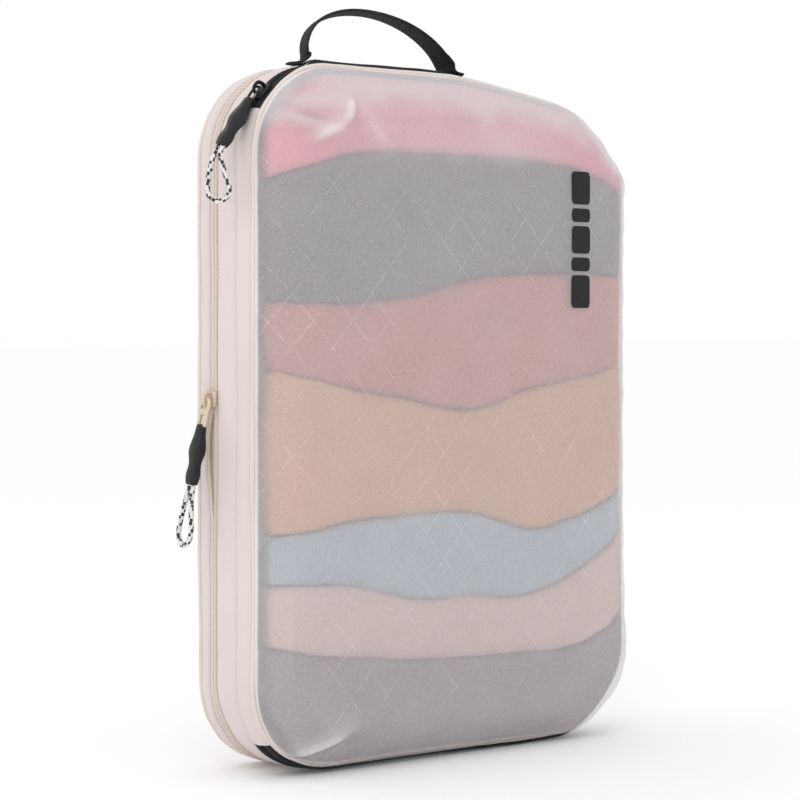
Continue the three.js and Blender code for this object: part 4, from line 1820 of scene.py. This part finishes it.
@dataclass
class RearSection:
    """Rear gusset, welt, back panel and rear half of the compression zip."""

    dresser: Dresser
    bands: Bands
    slack: Slackness

    def build(self) -> None:
        """Makes the pieces that ride on the rear section."""
        outline, finishes, dress = self.dresser.outline, self.dresser.finishes, self.dresser.dress
        bands, slack = self.bands, self.slack
        tape = sweep(
            "compression_tape_rear", outline,
            cloth_section(bands.rear_tape[0] - 0.0004, bands.rear_tape[1], puff=0.0003, tuck=0.0002, rows=6),
            shift=slack,
        )
        dress(tape, finishes.pale_tape, "cream_trim", "rear_section", ["rear_compression_tape"])
        gusset = sweep(
            "gusset_rear_cloth", outline,
            cloth_section(*bands.rear_gusset, puff=0.0009, tuck=0.0007, rows=10), shift=slack,
        )
        dress(gusset, finishes.gusset, "off_white_fabric", "rear_section", ["rear_gusset"])
        front, back = bands.rear_welt
        welt = sweep(
            "welt_rear", outline,
            round_section(0.0010, (front + back) / 2, 0.0014, (back - front) / 2 + 0.0001), shift=slack,
        )
        dress(welt, finishes.trim, "cream_trim", "rear_section", ["rear_welt"])
        coral = StitchRow("coral_stitches_rear", bands.rear_tape[1] - 0.0004, above=0.0003)
        dress(
            coral.build(outline, 0.0, outline.length, slack), finishes.coral_thread, "cream_trim",
            "rear_section",
        )
        middle = bands.compression_zip
        coil = CoilTeeth("compression_coil_rear", middle - 0.0002, middle + 0.0012, pitch=0.0012)
        dress(
            coil.build(outline, 0.0, outline.length, 0.5, slack), finishes.pale_coil, "cream_coil",
            "rear_section", ["rear_compression_coil"],
        )
        binding(self.dresser, "rear_seam_binding", "rear_section", slack)
        self.cloth()
        self.pleat()

    def cloth(self) -> None:
        """Makes the back panel."""
        outline = self.dresser.outline
        right, top = outline.width / 2, outline.height
        creases = (
            Crease((right - 0.012, 0.016), (right - 0.040, 0.030), 0.0012, 0.0030),
            Crease((-right + 0.014, top - 0.020), (-right + 0.044, top - 0.036), 0.0012, 0.0030),
            Crease((-right + 0.020, 0.040), (-right + 0.052, 0.066), 0.0010, 0.0036),
        )
        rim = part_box("rear_panel")[0].y
        panel = CrownedPanel(outline, rim, 1, 0.006, 0.024, 0.002, creases=creases, ripple=0.0004)
        piece = panel.build("back_panel_cloth", Puffing(0.3, 0.008, 12.0, 0.3, 20, 0.0016, 0.0005))
        subdivided(piece)
        self.dresser.dress(
            piece, self.dresser.finishes.gusset, "off_white_fabric", "rear_section", ["rear_panel"]
        )
        width, height, area = panel.flat_size()

    def pleat(self) -> None:
        """Makes the expansion gusset, folded inward behind the compression zip."""
        outline = self.dresser.outline
        low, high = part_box("expansion_gusset")
        middle, spread = self.bands.compression_zip, (high.y - low.y) / 2
        root = low.x + outline.width / 2
        outer = [
            (root + 0.0052 * math.sin(math.pi / 2 * (1 - abs(k) / 5)) ** 1.5, middle + spread * k / 5)
            for k in range(-5, 6)
        ]
        section = outer + [(inset + 0.0006, y) for inset, y in reversed(outer)]
        piece = sweep("expansion_pleat", outline, section)
        self.dresser.dress(
            piece, self.dresser.finishes.gusset, "off_white_fabric", None, ["expansion_gusset"]
        )
        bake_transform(piece)


@dataclass
class Slider:
    """Zip slider with its bail."""

    dresser: Dresser
    name: str
    body: str
    place: Vector
    tilt: float
    length: float
    mouth: float
    tail: float
    material: Material
    slot: str
    wire: float = 0.00075
    lift: float = 0.0004

    def local(self, along: float, across: float, up: float) -> Vector:
        """A point given along the zip, across it and out of the surface."""
        turn = math.radians(self.tilt)
        direction = Vector((math.cos(turn), 0, -math.sin(turn)))
        out = Vector((math.sin(turn), 0, math.cos(turn)))
        return self.place + direction * along + Vector((0, across, 0)) + out * up

    def build(self) -> None:
        """Makes the slider and its bail."""
        rows, half = [], self.length / 2
        for k in range(13):
            share = k / 12
            along = -half + self.length * share
            end = math.sqrt(max(0.0, 1 - abs(2 * share - 1) ** 5))
            side = (self.tail + (self.mouth - self.tail) * min(1.0, share * 1.35)) / 2 * (0.72 + 0.28 * end)
            top = self.lift + 0.0013 + 0.0006 * end
            ring = []
            for across, up in (
                (-1, 0), (-1, 0.55), (-0.86, 0.9), (-0.5, 1), (0, 1.16), (0.5, 1), (0.86, 0.9), (1, 0.55),
                (1, 0),
            ):
                ring.append(self.local(along, side * across, self.lift + (top - self.lift) * up))
            rows.append(ring)
        body = lattice(f"{self.name}_plate", rows, [0.001 * k for k in range(13)], True, False, True, 32.0)
        self.dresser.dress(body, self.material, self.slot, self.body, [f"{self.name}_body"])
        arch = [
            (-0.0034, 0.0014), (-0.0033, 0.0036), (-0.0024, 0.0055), (-0.0009, 0.0062), (0.0009, 0.0062),
            (0.0024, 0.0055), (0.0033, 0.0036), (0.0034, 0.0014),
        ]
        path = smooth_path([self.local(along, 0, up) for along, up in arch], 0.0005)
        bail = tube(
            f"{self.name}_arch", path, lambda reach, turn: self.wire + 0.0003 * abs(math.cos(TURN * turn)),
            10,
        )
        self.dresser.dress(bail, self.material, self.slot, self.body, [f"{self.name}_bail"])


@dataclass
class Pull:
    """Link, moulded grip and cord loop that hang on a slider."""

    dresser: Dresser
    name: str
    body: str
    pivot: Vector
    direction: Vector
    link: float
    grip: float
    radius: float
    material: Material
    slot: str
    route: tuple[Point, ...]
    loops: int = 1
    profile: tuple[Pair, ...] = (
        (0.0, 0.52), (0.02, 0.62), (0.08, 0.68), (0.18, 0.74), (0.28, 0.88), (0.38, 1.0), (0.47, 1.0),
        (0.56, 0.86), (0.64, 0.74), (0.72, 0.75), (0.80, 0.83), (0.87, 0.83), (0.94, 0.75),
        (0.985, 0.66), (1.0, 0.52),
    )
    thin_wire: float = 0.00065
    thick_wire: float = 0.0011
    cord_radius: float = 0.0013
    cord_plait: float = 0.00187

    def spot(self, along: float, across: float, up: float) -> Vector:
        """A point given along the pull, across it and out of its flat side."""
        side = Vector((0, 1, 0))
        return self.pivot + self.direction * along + side * across + side.cross(self.direction) * up

    def cord(self) -> None:
        """Lays the cord loop, which comes out of the grip's end and goes back into it."""
        path = smooth_path(self.route, 0.0004)
        length = sum((b - a).length for a, b in zip(path, path[1:]))
        radius = self.cord_radius

        def braid(reach: float, turn: float) -> float:
            """Radius of the cord, which its plait makes a little uneven."""
            return radius * (1 + 0.045 * math.sin(TURN * (reach / self.cord_plait + 4 * turn)))

        piece = tube(f"{self.name}_cord_loop", path, braid, 14)
        self.dresser.dress(
            piece, self.dresser.finishes.cord, "speckled_cord", self.body, [f"{self.name}_cord"]
        )
        2 * radius

    def build(self) -> None:
        """Makes the link and the grip."""
        end = self.link - 0.0004
        link = [f"{self.name}_link"]
        if self.loops == 1:
            self.wire_loop("loop", self.ring(0.0, end + 0.0012, 0.0026), self.thin_wire, link)
        else:
            self.wire_loop("loop", self.ring(0.0, end * 0.56, 0.0033), self.thick_wire, link)
            self.wire_loop("lower_loop", self.ring(end * 0.46, end + 0.0014, 0.0027), self.thick_wire, [])
        self.moulding()

    def wire_loop(self, name: str, ring: Sequence[Vector], radius: float, nodes: Sequence[str]) -> None:
        """Makes one closed loop of wire.

        Args:
            name: The end of the piece's name.
            ring: Its middle line.
            radius: Radius of the wire.
            nodes: The frame's pieces that it replaces.
        """
        piece = tube(f"{self.name}_{name}", ring, lambda reach, turn: radius, 10, True)
        self.dresser.dress(piece, self.material, self.slot, self.body, nodes)

    def ring(self, start: float, end: float, half: float) -> list[Vector]:
        """Middle line of one rounded wire loop.

        Args:
            start: Where it starts along the pull.
            end: Where it ends.
            half: Half its width.

        Returns:
            The points, without the first one again at the end.
        """
        bend = half * 0.62
        near = bend * 0.3
        corners = [
            (start, -half + bend), (start, half - bend), (start + near, half - near), (start + bend, half),
            (end - bend, half), (end - near, half - near), (end, half - bend), (end, -half + bend),
            (end - near, -half + near), (end - bend, -half), (start + bend, -half),
            (start + near, -half + near),
        ]
        path = smooth_path([self.spot(along, across, 0) for along, across in (*corners, corners[0])], 0.0005)
        return path[:-1]

    def moulding(self) -> None:
        """Makes the grip: a round bulb, a waist and a squared end."""
        known = [Vector((share, width, 0)) for share, width in self.profile]
        line = smooth_path(known, 0.02)
        rows, stations = [], []
        for point in line:
            share, width = min(max(point.x, 0.0), 1.0), point.y
            square = 2.3 + 1.6 * share
            ring = []
            for k in range(36):
                turn = TURN * k / 36
                c, s = math.cos(turn), math.sin(turn)
                reach = (abs(c) ** square + abs(s) ** square) ** (-1 / square)
                ring.append(
                    self.spot(
                        self.link + self.grip * share, width * self.radius * reach * c,
                        0.85 * width * self.radius * reach * s,
                    )
                )
            rows.append(ring)
            stations.append(share * self.grip)
        piece = lattice(f"{self.name}_moulded_grip", rows, stations, True, False, True, 60.0)
        self.dresser.dress(piece, self.dresser.finishes.grip, "black_grip", self.body, [f"{self.name}_grip"])


@dataclass
class Handle:
    """Webbing carry handle: one strap whose flat ends are sewn to the gusset."""

    dresser: Dresser
    slack: Slackness
    centre_x: float = -0.030
    span: float = 0.096
    width: float = 0.015
    thickness: float = 0.0016
    lean: float = 0.010
    foot: float = 0.0068
    twist: float = -23.0

    def build(self) -> None:
        """Makes the strap, its two patches and their stitches."""
        low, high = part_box("handle_strap")
        ground = self.dresser.outline.height
        middle_y = (low.y + high.y) / 2
        base = low.z
        rise = (high.z - self.thickness / 2 - base) / 0.75
        controls = [
            (-self.span / 2, 0), (-self.span / 2 - self.lean * 0.6, rise),
            (self.span / 2 - self.lean * 2.2, rise), (self.span / 2, 0),
        ]
        seat = ground + 0.0024
        line = [
            (-self.span / 2 - self.foot, seat), (-self.span / 2 - 0.0022, seat),
            (-self.span / 2 - 0.0004, seat + 0.0012),
        ]
        for k in range(33):
            t = k / 32
            weights = ((1 - t) ** 3, 3 * t * (1 - t) ** 2, 3 * t * t * (1 - t), t ** 3)
            line.append(
                (
                    sum(w * c[0] for w, c in zip(weights, controls)),
                    base + sum(w * c[1] for w, c in zip(weights, controls)),
                )
            )
        line += [
            (self.span / 2 + 0.0004, seat + 0.0012), (self.span / 2 + 0.0022, seat),
            (self.span / 2 + self.foot, seat),
        ]
        path = smooth_path([(self.centre_x + x, middle_y, z) for x, z in line], 0.0014)
        strap = self.strap(path)
        self.dresser.dress(strap, self.dresser.finishes.webbing, "black_webbing", None, ["handle_strap"])
        ground + 0.0020
        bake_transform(strap)
        for side, node in ((-1, "handle_left_anchor"), (1, "handle_right_anchor")):
            self.patch(side, node)

    def strap(self, path: Sequence[Vector]) -> Piece:
        """Webbing of even width, with its left leg turned a little.

        Args:
            path: Its middle line.

        Returns:
            The strap.
        """
        rows, stations, reach = [], [], 0.0
        for k, point in enumerate(path):
            ahead, behind = path[min(k + 1, len(path) - 1)], path[max(k - 1, 0)]
            tangent = (ahead - behind).normalized()
            share = k / (len(path) - 1)
            lifted = min(max((point.z - self.dresser.outline.height - 0.006) / 0.008, 0.0), 1.0)
            turned = ease((point.z - self.dresser.outline.height - 0.0024) / 0.0032)
            turn = math.radians(self.twist) * turned * (1 - ease(share / 0.6))
            side = Matrix.Rotation(turn, 3, tangent) @ Vector((0, 1, 0))
            out = tangent.cross(side).normalized()
            reach += (point - behind).length if k else 0.0
            ring = []
            for across, up in self.section():
                spot = point + side * across + out * up
                ring.append(spot + Vector((0, 0, self.rise(spot.x, spot.y) * (1 - lifted))))
            rows.append(ring)
            stations.append(reach)
        return lattice("carry_strap", rows, stations, True, False, True, 60.0)

    def rise(self, x: float, y: float) -> float:
        """How far the top of the cube stands up under a point of the handle."""
        outline = self.dresser.outline
        slump = outline.height - outline.settled(x, outline.height)[1]
        return self.slack(outline.on_top(x), y)[0] - slump

    def section(self) -> list[Pair]:
        """Section of the webbing, thin and rounded at its edges."""
        half, thick = self.width / 2, self.thickness / 2
        upper = [
            (half * share, thick * (1.0 - 0.75 * abs(share) ** 10))
            for share in (-1, -0.97, -0.9, -0.6, -0.3, 0, 0.3, 0.6, 0.9, 0.97, 1)
        ]
        return upper + [(across, -up) for across, up in reversed(upper)]

    def patch(self, side: int, node: str) -> None:
        """Makes one sewn patch and its box of stitches.

        Args:
            side: -1 for the left end of the handle and 1 for the right.
            node: The frame's piece that it replaces.
        """
        low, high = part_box(node)
        columns, rows = 10, 10
        half_x, half_y = (high.x - low.x) / 2, (high.y - low.y) / 2
        x0, y0 = (low.x + high.x) / 2, (low.y + high.y) / 2
        points, faces, cut = [], [], []
        for j in range(rows + 1):
            for i in range(columns + 1):
                a, b = 2 * i / columns - 1, 2 * j / rows - 1
                edge = max(abs(a), abs(b))
                x, y = x0 + a * half_x, y0 + b * half_y
                points.append(
                    (x, y, high.z - 0.0003 - 0.0011 * max(0.0, edge - 0.72) / 0.28 + self.rise(x, y))
                )
        for j in range(rows):
            for i in range(columns):
                a = j * (columns + 1) + i
                quad = (a, a + 1, a + columns + 2, a + columns + 1)
                faces.append(quad)
                cut.append([(points[k][0], points[k][1]) for k in quad])
        piece = make_mesh(f"{node}_patch", points, faces, cut, 60.0)
        self.dresser.dress(piece, self.dresser.finishes.webbing, "black_webbing", "shell", [node])
        self.box_stitch(f"{node}_stitches", x0 + side * 0.0045, y0, high.z + 0.0014)

    def box_stitch(self, name: str, x: float, y: float, z: float) -> None:
        """Sews a small box with a cross over the strap's flat end.

        Args:
            name: The piece's name.
            x: Its middle.
            y: Its middle.
            z: Height of the cloth that it is sewn to, before the cloth gives.
        """
        half_x, half_y, length = 0.0019, 0.0058, 0.0015
        corners = [(-half_x, -half_y), (half_x, -half_y), (half_x, half_y), (-half_x, half_y)]
        lines = [*zip(corners, corners[1:] + corners[:1]), (corners[0], corners[2]), (corners[1], corners[3])]
        points, faces = [], []
        for start, end in lines:
            a, b = Vector((*start, 0)), Vector((*end, 0))
            count = max(1, round((b - a).length / (length * 1.25)))
            along = (b - a).normalized()
            side = Vector((-along.y, along.x, 0)) * 0.00022
            for k in range(count):
                middle = a.lerp(b, (k + 0.5) / count) + Vector((x, y, z))
                middle.z += self.rise(middle.x, middle.y)
                base = len(points)
                points += [
                    middle - along * length / 2, middle - side, middle + Vector((0, 0, 0.00022)),
                    middle + side, middle + along * length / 2,
                ]
                faces += [
                    (base + p, base + q, base + r)
                    for p, q, r in ((0, 1, 2), (0, 2, 3), (4, 2, 1), (4, 3, 2))
                ]
        piece = make_mesh(name, points, faces, None, 80.0)
        self.dresser.dress(piece, self.dresser.finishes.black_thread, "black_webbing", "shell")


@dataclass(frozen=True)
class Garment:
    """One folded garment in the pile."""

    node: str
    finish: Knit | Twill | PlainWeave
    layers: int
    seed: float
    softness: float = 0.0013
    clearance: float = 0.0024
    spread: float = 0.0056
    closing: float = 0.0006
    voxel: float = 0.0045

    def build(self, dresser: Dresser, lid: BVHTree, rim: float) -> Piece:
        """Makes the garment from the space that the frame keeps for it.

        Args:
            dresser: Dresses the finished piece.
            lid: The lid's cloth, which the garment fills out to.
            rim: Depth of the lid's sewn rim.

        Returns:
            The garment.
        """
        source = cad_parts[self.node].data
        mesh = source.copy()
        piece = bpy.data.objects.new(f"{self.node}_cloth", mesh)
        bpy.context.scene.collection.objects.link(piece)
        remesh = piece.modifiers.new("even", "REMESH")
        remesh.mode = "VOXEL"
        remesh.voxel_size = self.voxel
        soften = piece.modifiers.new("soften", "SMOOTH")
        soften.factor, soften.iterations = 0.5, 4
        keep_result(piece)
        Puffing(2.5, 0.02, 10.0, 0.2, 16, 0.0022, 0.0010).run(piece)
        self.folds(piece, source, dresser.outline)
        self.fill_out(piece, lid, rim)
        subdivided(piece)
        dresser.dress(piece, self.finish.make(), self.finish.name, "shell", [self.node])
        return piece

    def fill_out(self, piece: Piece, lid: BVHTree, rim: float) -> None:
        """Lets the garment spread until it nearly touches the lid's cloth.

        Args:
            piece: The garment.
            lid: The lid's cloth.
            rim: Depth of the lid's sewn rim.
        """
        normals = [vertex.normal.copy() for vertex in piece.data.vertices]
        for vertex, normal in zip(piece.data.vertices, normals):
            place, _, _, reach = lid.find_nearest(vertex.co)
            towards = (place - vertex.co).normalized()
            free = ease(towards.dot(normal) / 0.3 + 1.0) * ease((rim - vertex.co.y) / 0.004)
            vertex.co += towards * min(max(reach - self.clearance, 0.0), self.spread) * free
            vertex.co.z += self.closing * normal.z
        piece.data.update()

    def folds(self, piece: Piece, source: bpy.types.Mesh, outline: Outline) -> None:
        """Presses the folded layers and some soft creases into the cloth.

        Args:
            piece: The garment.
            source: The frame's mesh for it.
            outline: The outline that the garment keeps inside.
        """
        columns: dict[int, list[float]] = {}
        for vertex in source.vertices:
            span = columns.setdefault(round(vertex.co.x / 0.02), [vertex.co.z, vertex.co.z])
            span[0], span[1] = min(span[0], vertex.co.z), max(span[1], vertex.co.z)
        normals = [vertex.normal.copy() for vertex in piece.data.vertices]
        for vertex, normal in zip(piece.data.vertices, normals):
            vertex.co.x, vertex.co.z = outline.settled(vertex.co.x, vertex.co.z)
            x, y, z = vertex.co
            low, high = columns.get(round(x / 0.02)) or columns[min(columns, key=lambda k: abs(k * 0.02 - x))]
            share = (z - low) / max(high - low, 1e-6) * self.layers
            drift = noise.noise(Vector((x * 12, self.seed, round(share) * 3.0))) * 0.18
            near = abs(share + drift - round(share + drift)) * (high - low) / self.layers
            inner = 0 < round(share + drift) < self.layers
            groove = 0.0012 * math.exp(-((near / 0.0022) ** 2)) if inner else 0.0
            crumple = noise.noise(
                Vector((x * 17, y * 20 + self.seed, z * 24))
            ) * self.softness * 1.8 - self.softness * 0.6
            crumple += noise.noise(Vector((x * 48, y * 40 + self.seed, z * 60))) * self.softness * 0.5
            upright = 1.0 - abs(normal.z)
            vertex.co += normal * (crumple - groove) * upright
        piece.data.update()


@dataclass
class Studio:
    """Camera, light and floor."""

    camera_place: Point = (-0.850, -1.015, 0.2245)
    camera_turn: float = -39.5
    lens: float = 110.9
    shift_down: float = 0.086

    def camera(self) -> None:
        """Sets up the camera, level and turned to the cube's left front edge."""
        data = bpy.data.cameras.new("camera")
        data.lens = self.lens
        data.sensor_width = 36.0
        data.shift_y = -self.shift_down
        camera = bpy.data.objects.new("camera", data)
        camera.location = self.camera_place
        camera.rotation_euler = (math.pi / 2, 0, math.radians(self.camera_turn))
        bpy.context.scene.collection.objects.link(camera)
        bpy.context.scene.camera = camera

    def lights(self) -> None:
        """Sets up soft light from the whole room and from two large panels."""
        world = bpy.data.worlds.new("room")
        world.use_nodes = True
        world.node_tree.nodes["Background"].inputs["Color"].default_value = (1.0, 1.0, 1.0, 1.0)
        world.node_tree.nodes["Background"].inputs["Strength"].default_value = 1.0
        bpy.context.scene.world = world
        bpy.context.scene.view_settings.view_transform = "Standard"
        for name, place, size, power in (
            ("key", (-1.3, -1.2, 1.9), 1.0, 6.0),
            ("side", (-1.9, 0.4, 0.9), 0.9, 2.2),
        ):
            data = bpy.data.lights.new(name, "AREA")
            data.shape, data.size, data.energy = "DISK", size, power
            light = bpy.data.objects.new(name, data)
            light.location = place
            light.visible_camera = False
            light.rotation_euler = (Vector((0, 0, 0.18)) - Vector(place)).to_track_quat("-Z", "Y").to_euler()
            bpy.context.scene.collection.objects.link(light)

    def floor(self, material: Material) -> None:
        """Lays a wide pale floor.

        Args:
            material: Its material.
        """
        reach = 40.0
        rows = [
            [(-reach + 2 * reach * k / 8, -reach + 2 * reach * j / 8, 0.0) for k in range(9)]
            for j in range(9)
        ]
        piece = lattice("floor", rows, [float(j) for j in range(9)], False, False)
        piece.data.materials.append(material)


def garments() -> tuple[Garment, ...]:
    """The pile of clothes, from top to bottom."""
    pink = Knit("pink_knit", (0.86, 0.255, 0.35), (0.72, 0.19, 0.275), 0.0022, 0.0002)
    grey = Knit("grey_knit", (0.128, 0.122, 0.150), (0.083, 0.078, 0.101), 0.0034, 0.0005)
    rose = PlainWeave("rose_cotton", (0.50, 0.170, 0.148), (0.40, 0.128, 0.113), 0.0009, lay=Lay.PLACE)
    sand = Twill("sand_twill", (0.62, 0.325, 0.19), (0.52, 0.262, 0.147))
    blue = PlainWeave("blue_cotton", (0.34, 0.42, 0.48), (0.26, 0.34, 0.40), 0.0009, lay=Lay.PLACE)
    blush = Knit("blush_jersey", (0.67, 0.47, 0.43), (0.56, 0.38, 0.35), 0.0016, 0.00015)
    mauve = Knit("mauve_knit", (0.25, 0.20, 0.245), (0.18, 0.14, 0.175), 0.0032, 0.0005)
    return (
        Garment("folded_pink_top", pink, layers=3, seed=1.1),
        Garment("folded_grey_sweater", grey, layers=3, seed=2.3),
        Garment("folded_rose_shirt", rose, layers=3, seed=3.7),
        Garment("folded_sand_trousers", sand, layers=4, seed=4.9),
        Garment("folded_blue_shirt", blue, layers=2, seed=5.3),
        Garment("folded_blush_tee", blush, layers=2, seed=6.1),
        Garment("folded_mauve_sweater", mauve, layers=3, seed=7.9),
    )


def pulls(dresser: Dresser, outline: Outline, bands: Bands) -> tuple[tuple[Slider, Pull], ...]:
    """Both sliders with their pulls.

    Args:
        dresser: Dresses the pieces.
        outline: The outline that the zips follow.
        bands: Depths of the bands.

    Returns:
        The main slider and pull, then the compression slider and pull.
    """
    finishes = dresser.finishes
    main_angle, drop, lean = 48.0, math.radians(54), math.radians(12)
    x, z, out_x, out_z = outline.at(outline.turned(90 + main_angle))
    main_place = Vector((x, bands.main_zip, z))
    main_pivot = main_place + Vector((out_x, 0, out_z)) * 0.0046
    main_route = (
        (-0.1411, -0.0169, 0.3162), (-0.1424, -0.0170, 0.3139), (-0.1426, -0.0173, 0.3106),
        (-0.1414, -0.0177, 0.3056), (-0.1397, -0.0182, 0.3003), (-0.1384, -0.0186, 0.2955),
        (-0.1389, -0.0178, 0.2914), (-0.1420, -0.0148, 0.2889), (-0.1452, -0.0116, 0.2914),
        (-0.1460, -0.0107, 0.2958), (-0.1456, -0.0110, 0.3006), (-0.1449, -0.0119, 0.3056),
        (-0.1440, -0.0127, 0.3106), (-0.1426, -0.0134, 0.3139), (-0.1411, -0.0136, 0.3162),
    )
    main = (
        Slider(
            dresser, "main_slider", "main_slider", main_place, -main_angle, 0.0095, 0.0084, 0.0066,
            finishes.black_metal, "black_metal",
        ),
        Pull(
            dresser, "main_pull", "main_pull", main_pivot, Vector((-math.cos(drop), 0, -math.sin(drop))),
            0.008, 0.030, 0.0044, finishes.black_metal, "black_metal", main_route,
        ),
    )
    height = 0.190
    side_place = Vector((-outline.width / 2, bands.compression_zip, height))
    side_route = (
        (-0.1413, 0.00845, 0.1466), (-0.1419, 0.0083, 0.1440), (-0.1428, 0.0077, 0.1395),
        (-0.1437, 0.0067, 0.1345), (-0.1445, 0.0055, 0.1290), (-0.1451, 0.0048, 0.1240),
        (-0.1456, 0.0059, 0.1194), (-0.1459, 0.01015, 0.1168), (-0.1456, 0.0144, 0.1194),
        (-0.1451, 0.0155, 0.1240), (-0.1445, 0.0148, 0.1290), (-0.1437, 0.0136, 0.1345),
        (-0.1428, 0.0126, 0.1395), (-0.1419, 0.0120, 0.1440), (-0.1413, 0.01185, 0.1466),
    )
    compression = (
        Slider(
            dresser, "compression_slider", "compression_slider", side_place, -90.0, 0.0085, 0.0074, 0.006,
            finishes.pale_metal, "cream_metal", 0.0011,
        ),
        Pull(
            dresser, "compression_pull", "compression_pull", side_place + Vector((-0.0046, 0, 0)),
            Vector((-math.sin(lean), 0, -math.cos(lean))), 0.013, 0.031, 0.0042, finishes.pale_metal,
            "cream_metal", side_route, 2,
        ),
    )
    return main, compression


def main() -> None:
    """Builds the cube over its frame."""
    logging.basicConfig(level=logging.INFO, format="%(message)s")
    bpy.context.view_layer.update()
    studio = Studio()
    studio.camera()
    low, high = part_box("front_gusset")
    outline = Outline(high.x - low.x, high.z - low.z, CORNER_RADIUS)
    dresser = Dresser(outline, Finishes())
    bands = Bands()
    slack = Slackness(outline, bands)
    sliders = pulls(dresser, outline, bands)
    for slider, pull in sliders:
        pull.cord()
    for slider, pull in sliders:
        slider.build()
        pull.build()
    zip_from, zip_to = outline.turned(220), outline.turned(510)
    Shell(dresser, bands, slack, zip_from, zip_to).build()
    lid = Lid(dresser, bands, slack, zip_from, zip_to)
    lid.build()
    surface = lid.surface()
    pile = [garment.build(dresser, surface, bands.lid_welt[0]) for garment in garments()]
    lid.close_over(pile)
    RearSection(dresser, bands, slack).build()
    Handle(dresser, slack).build()
    studio.lights()
    studio.floor(dresser.finishes.floor)
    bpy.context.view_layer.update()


if __name__ == "__main__":
    main()
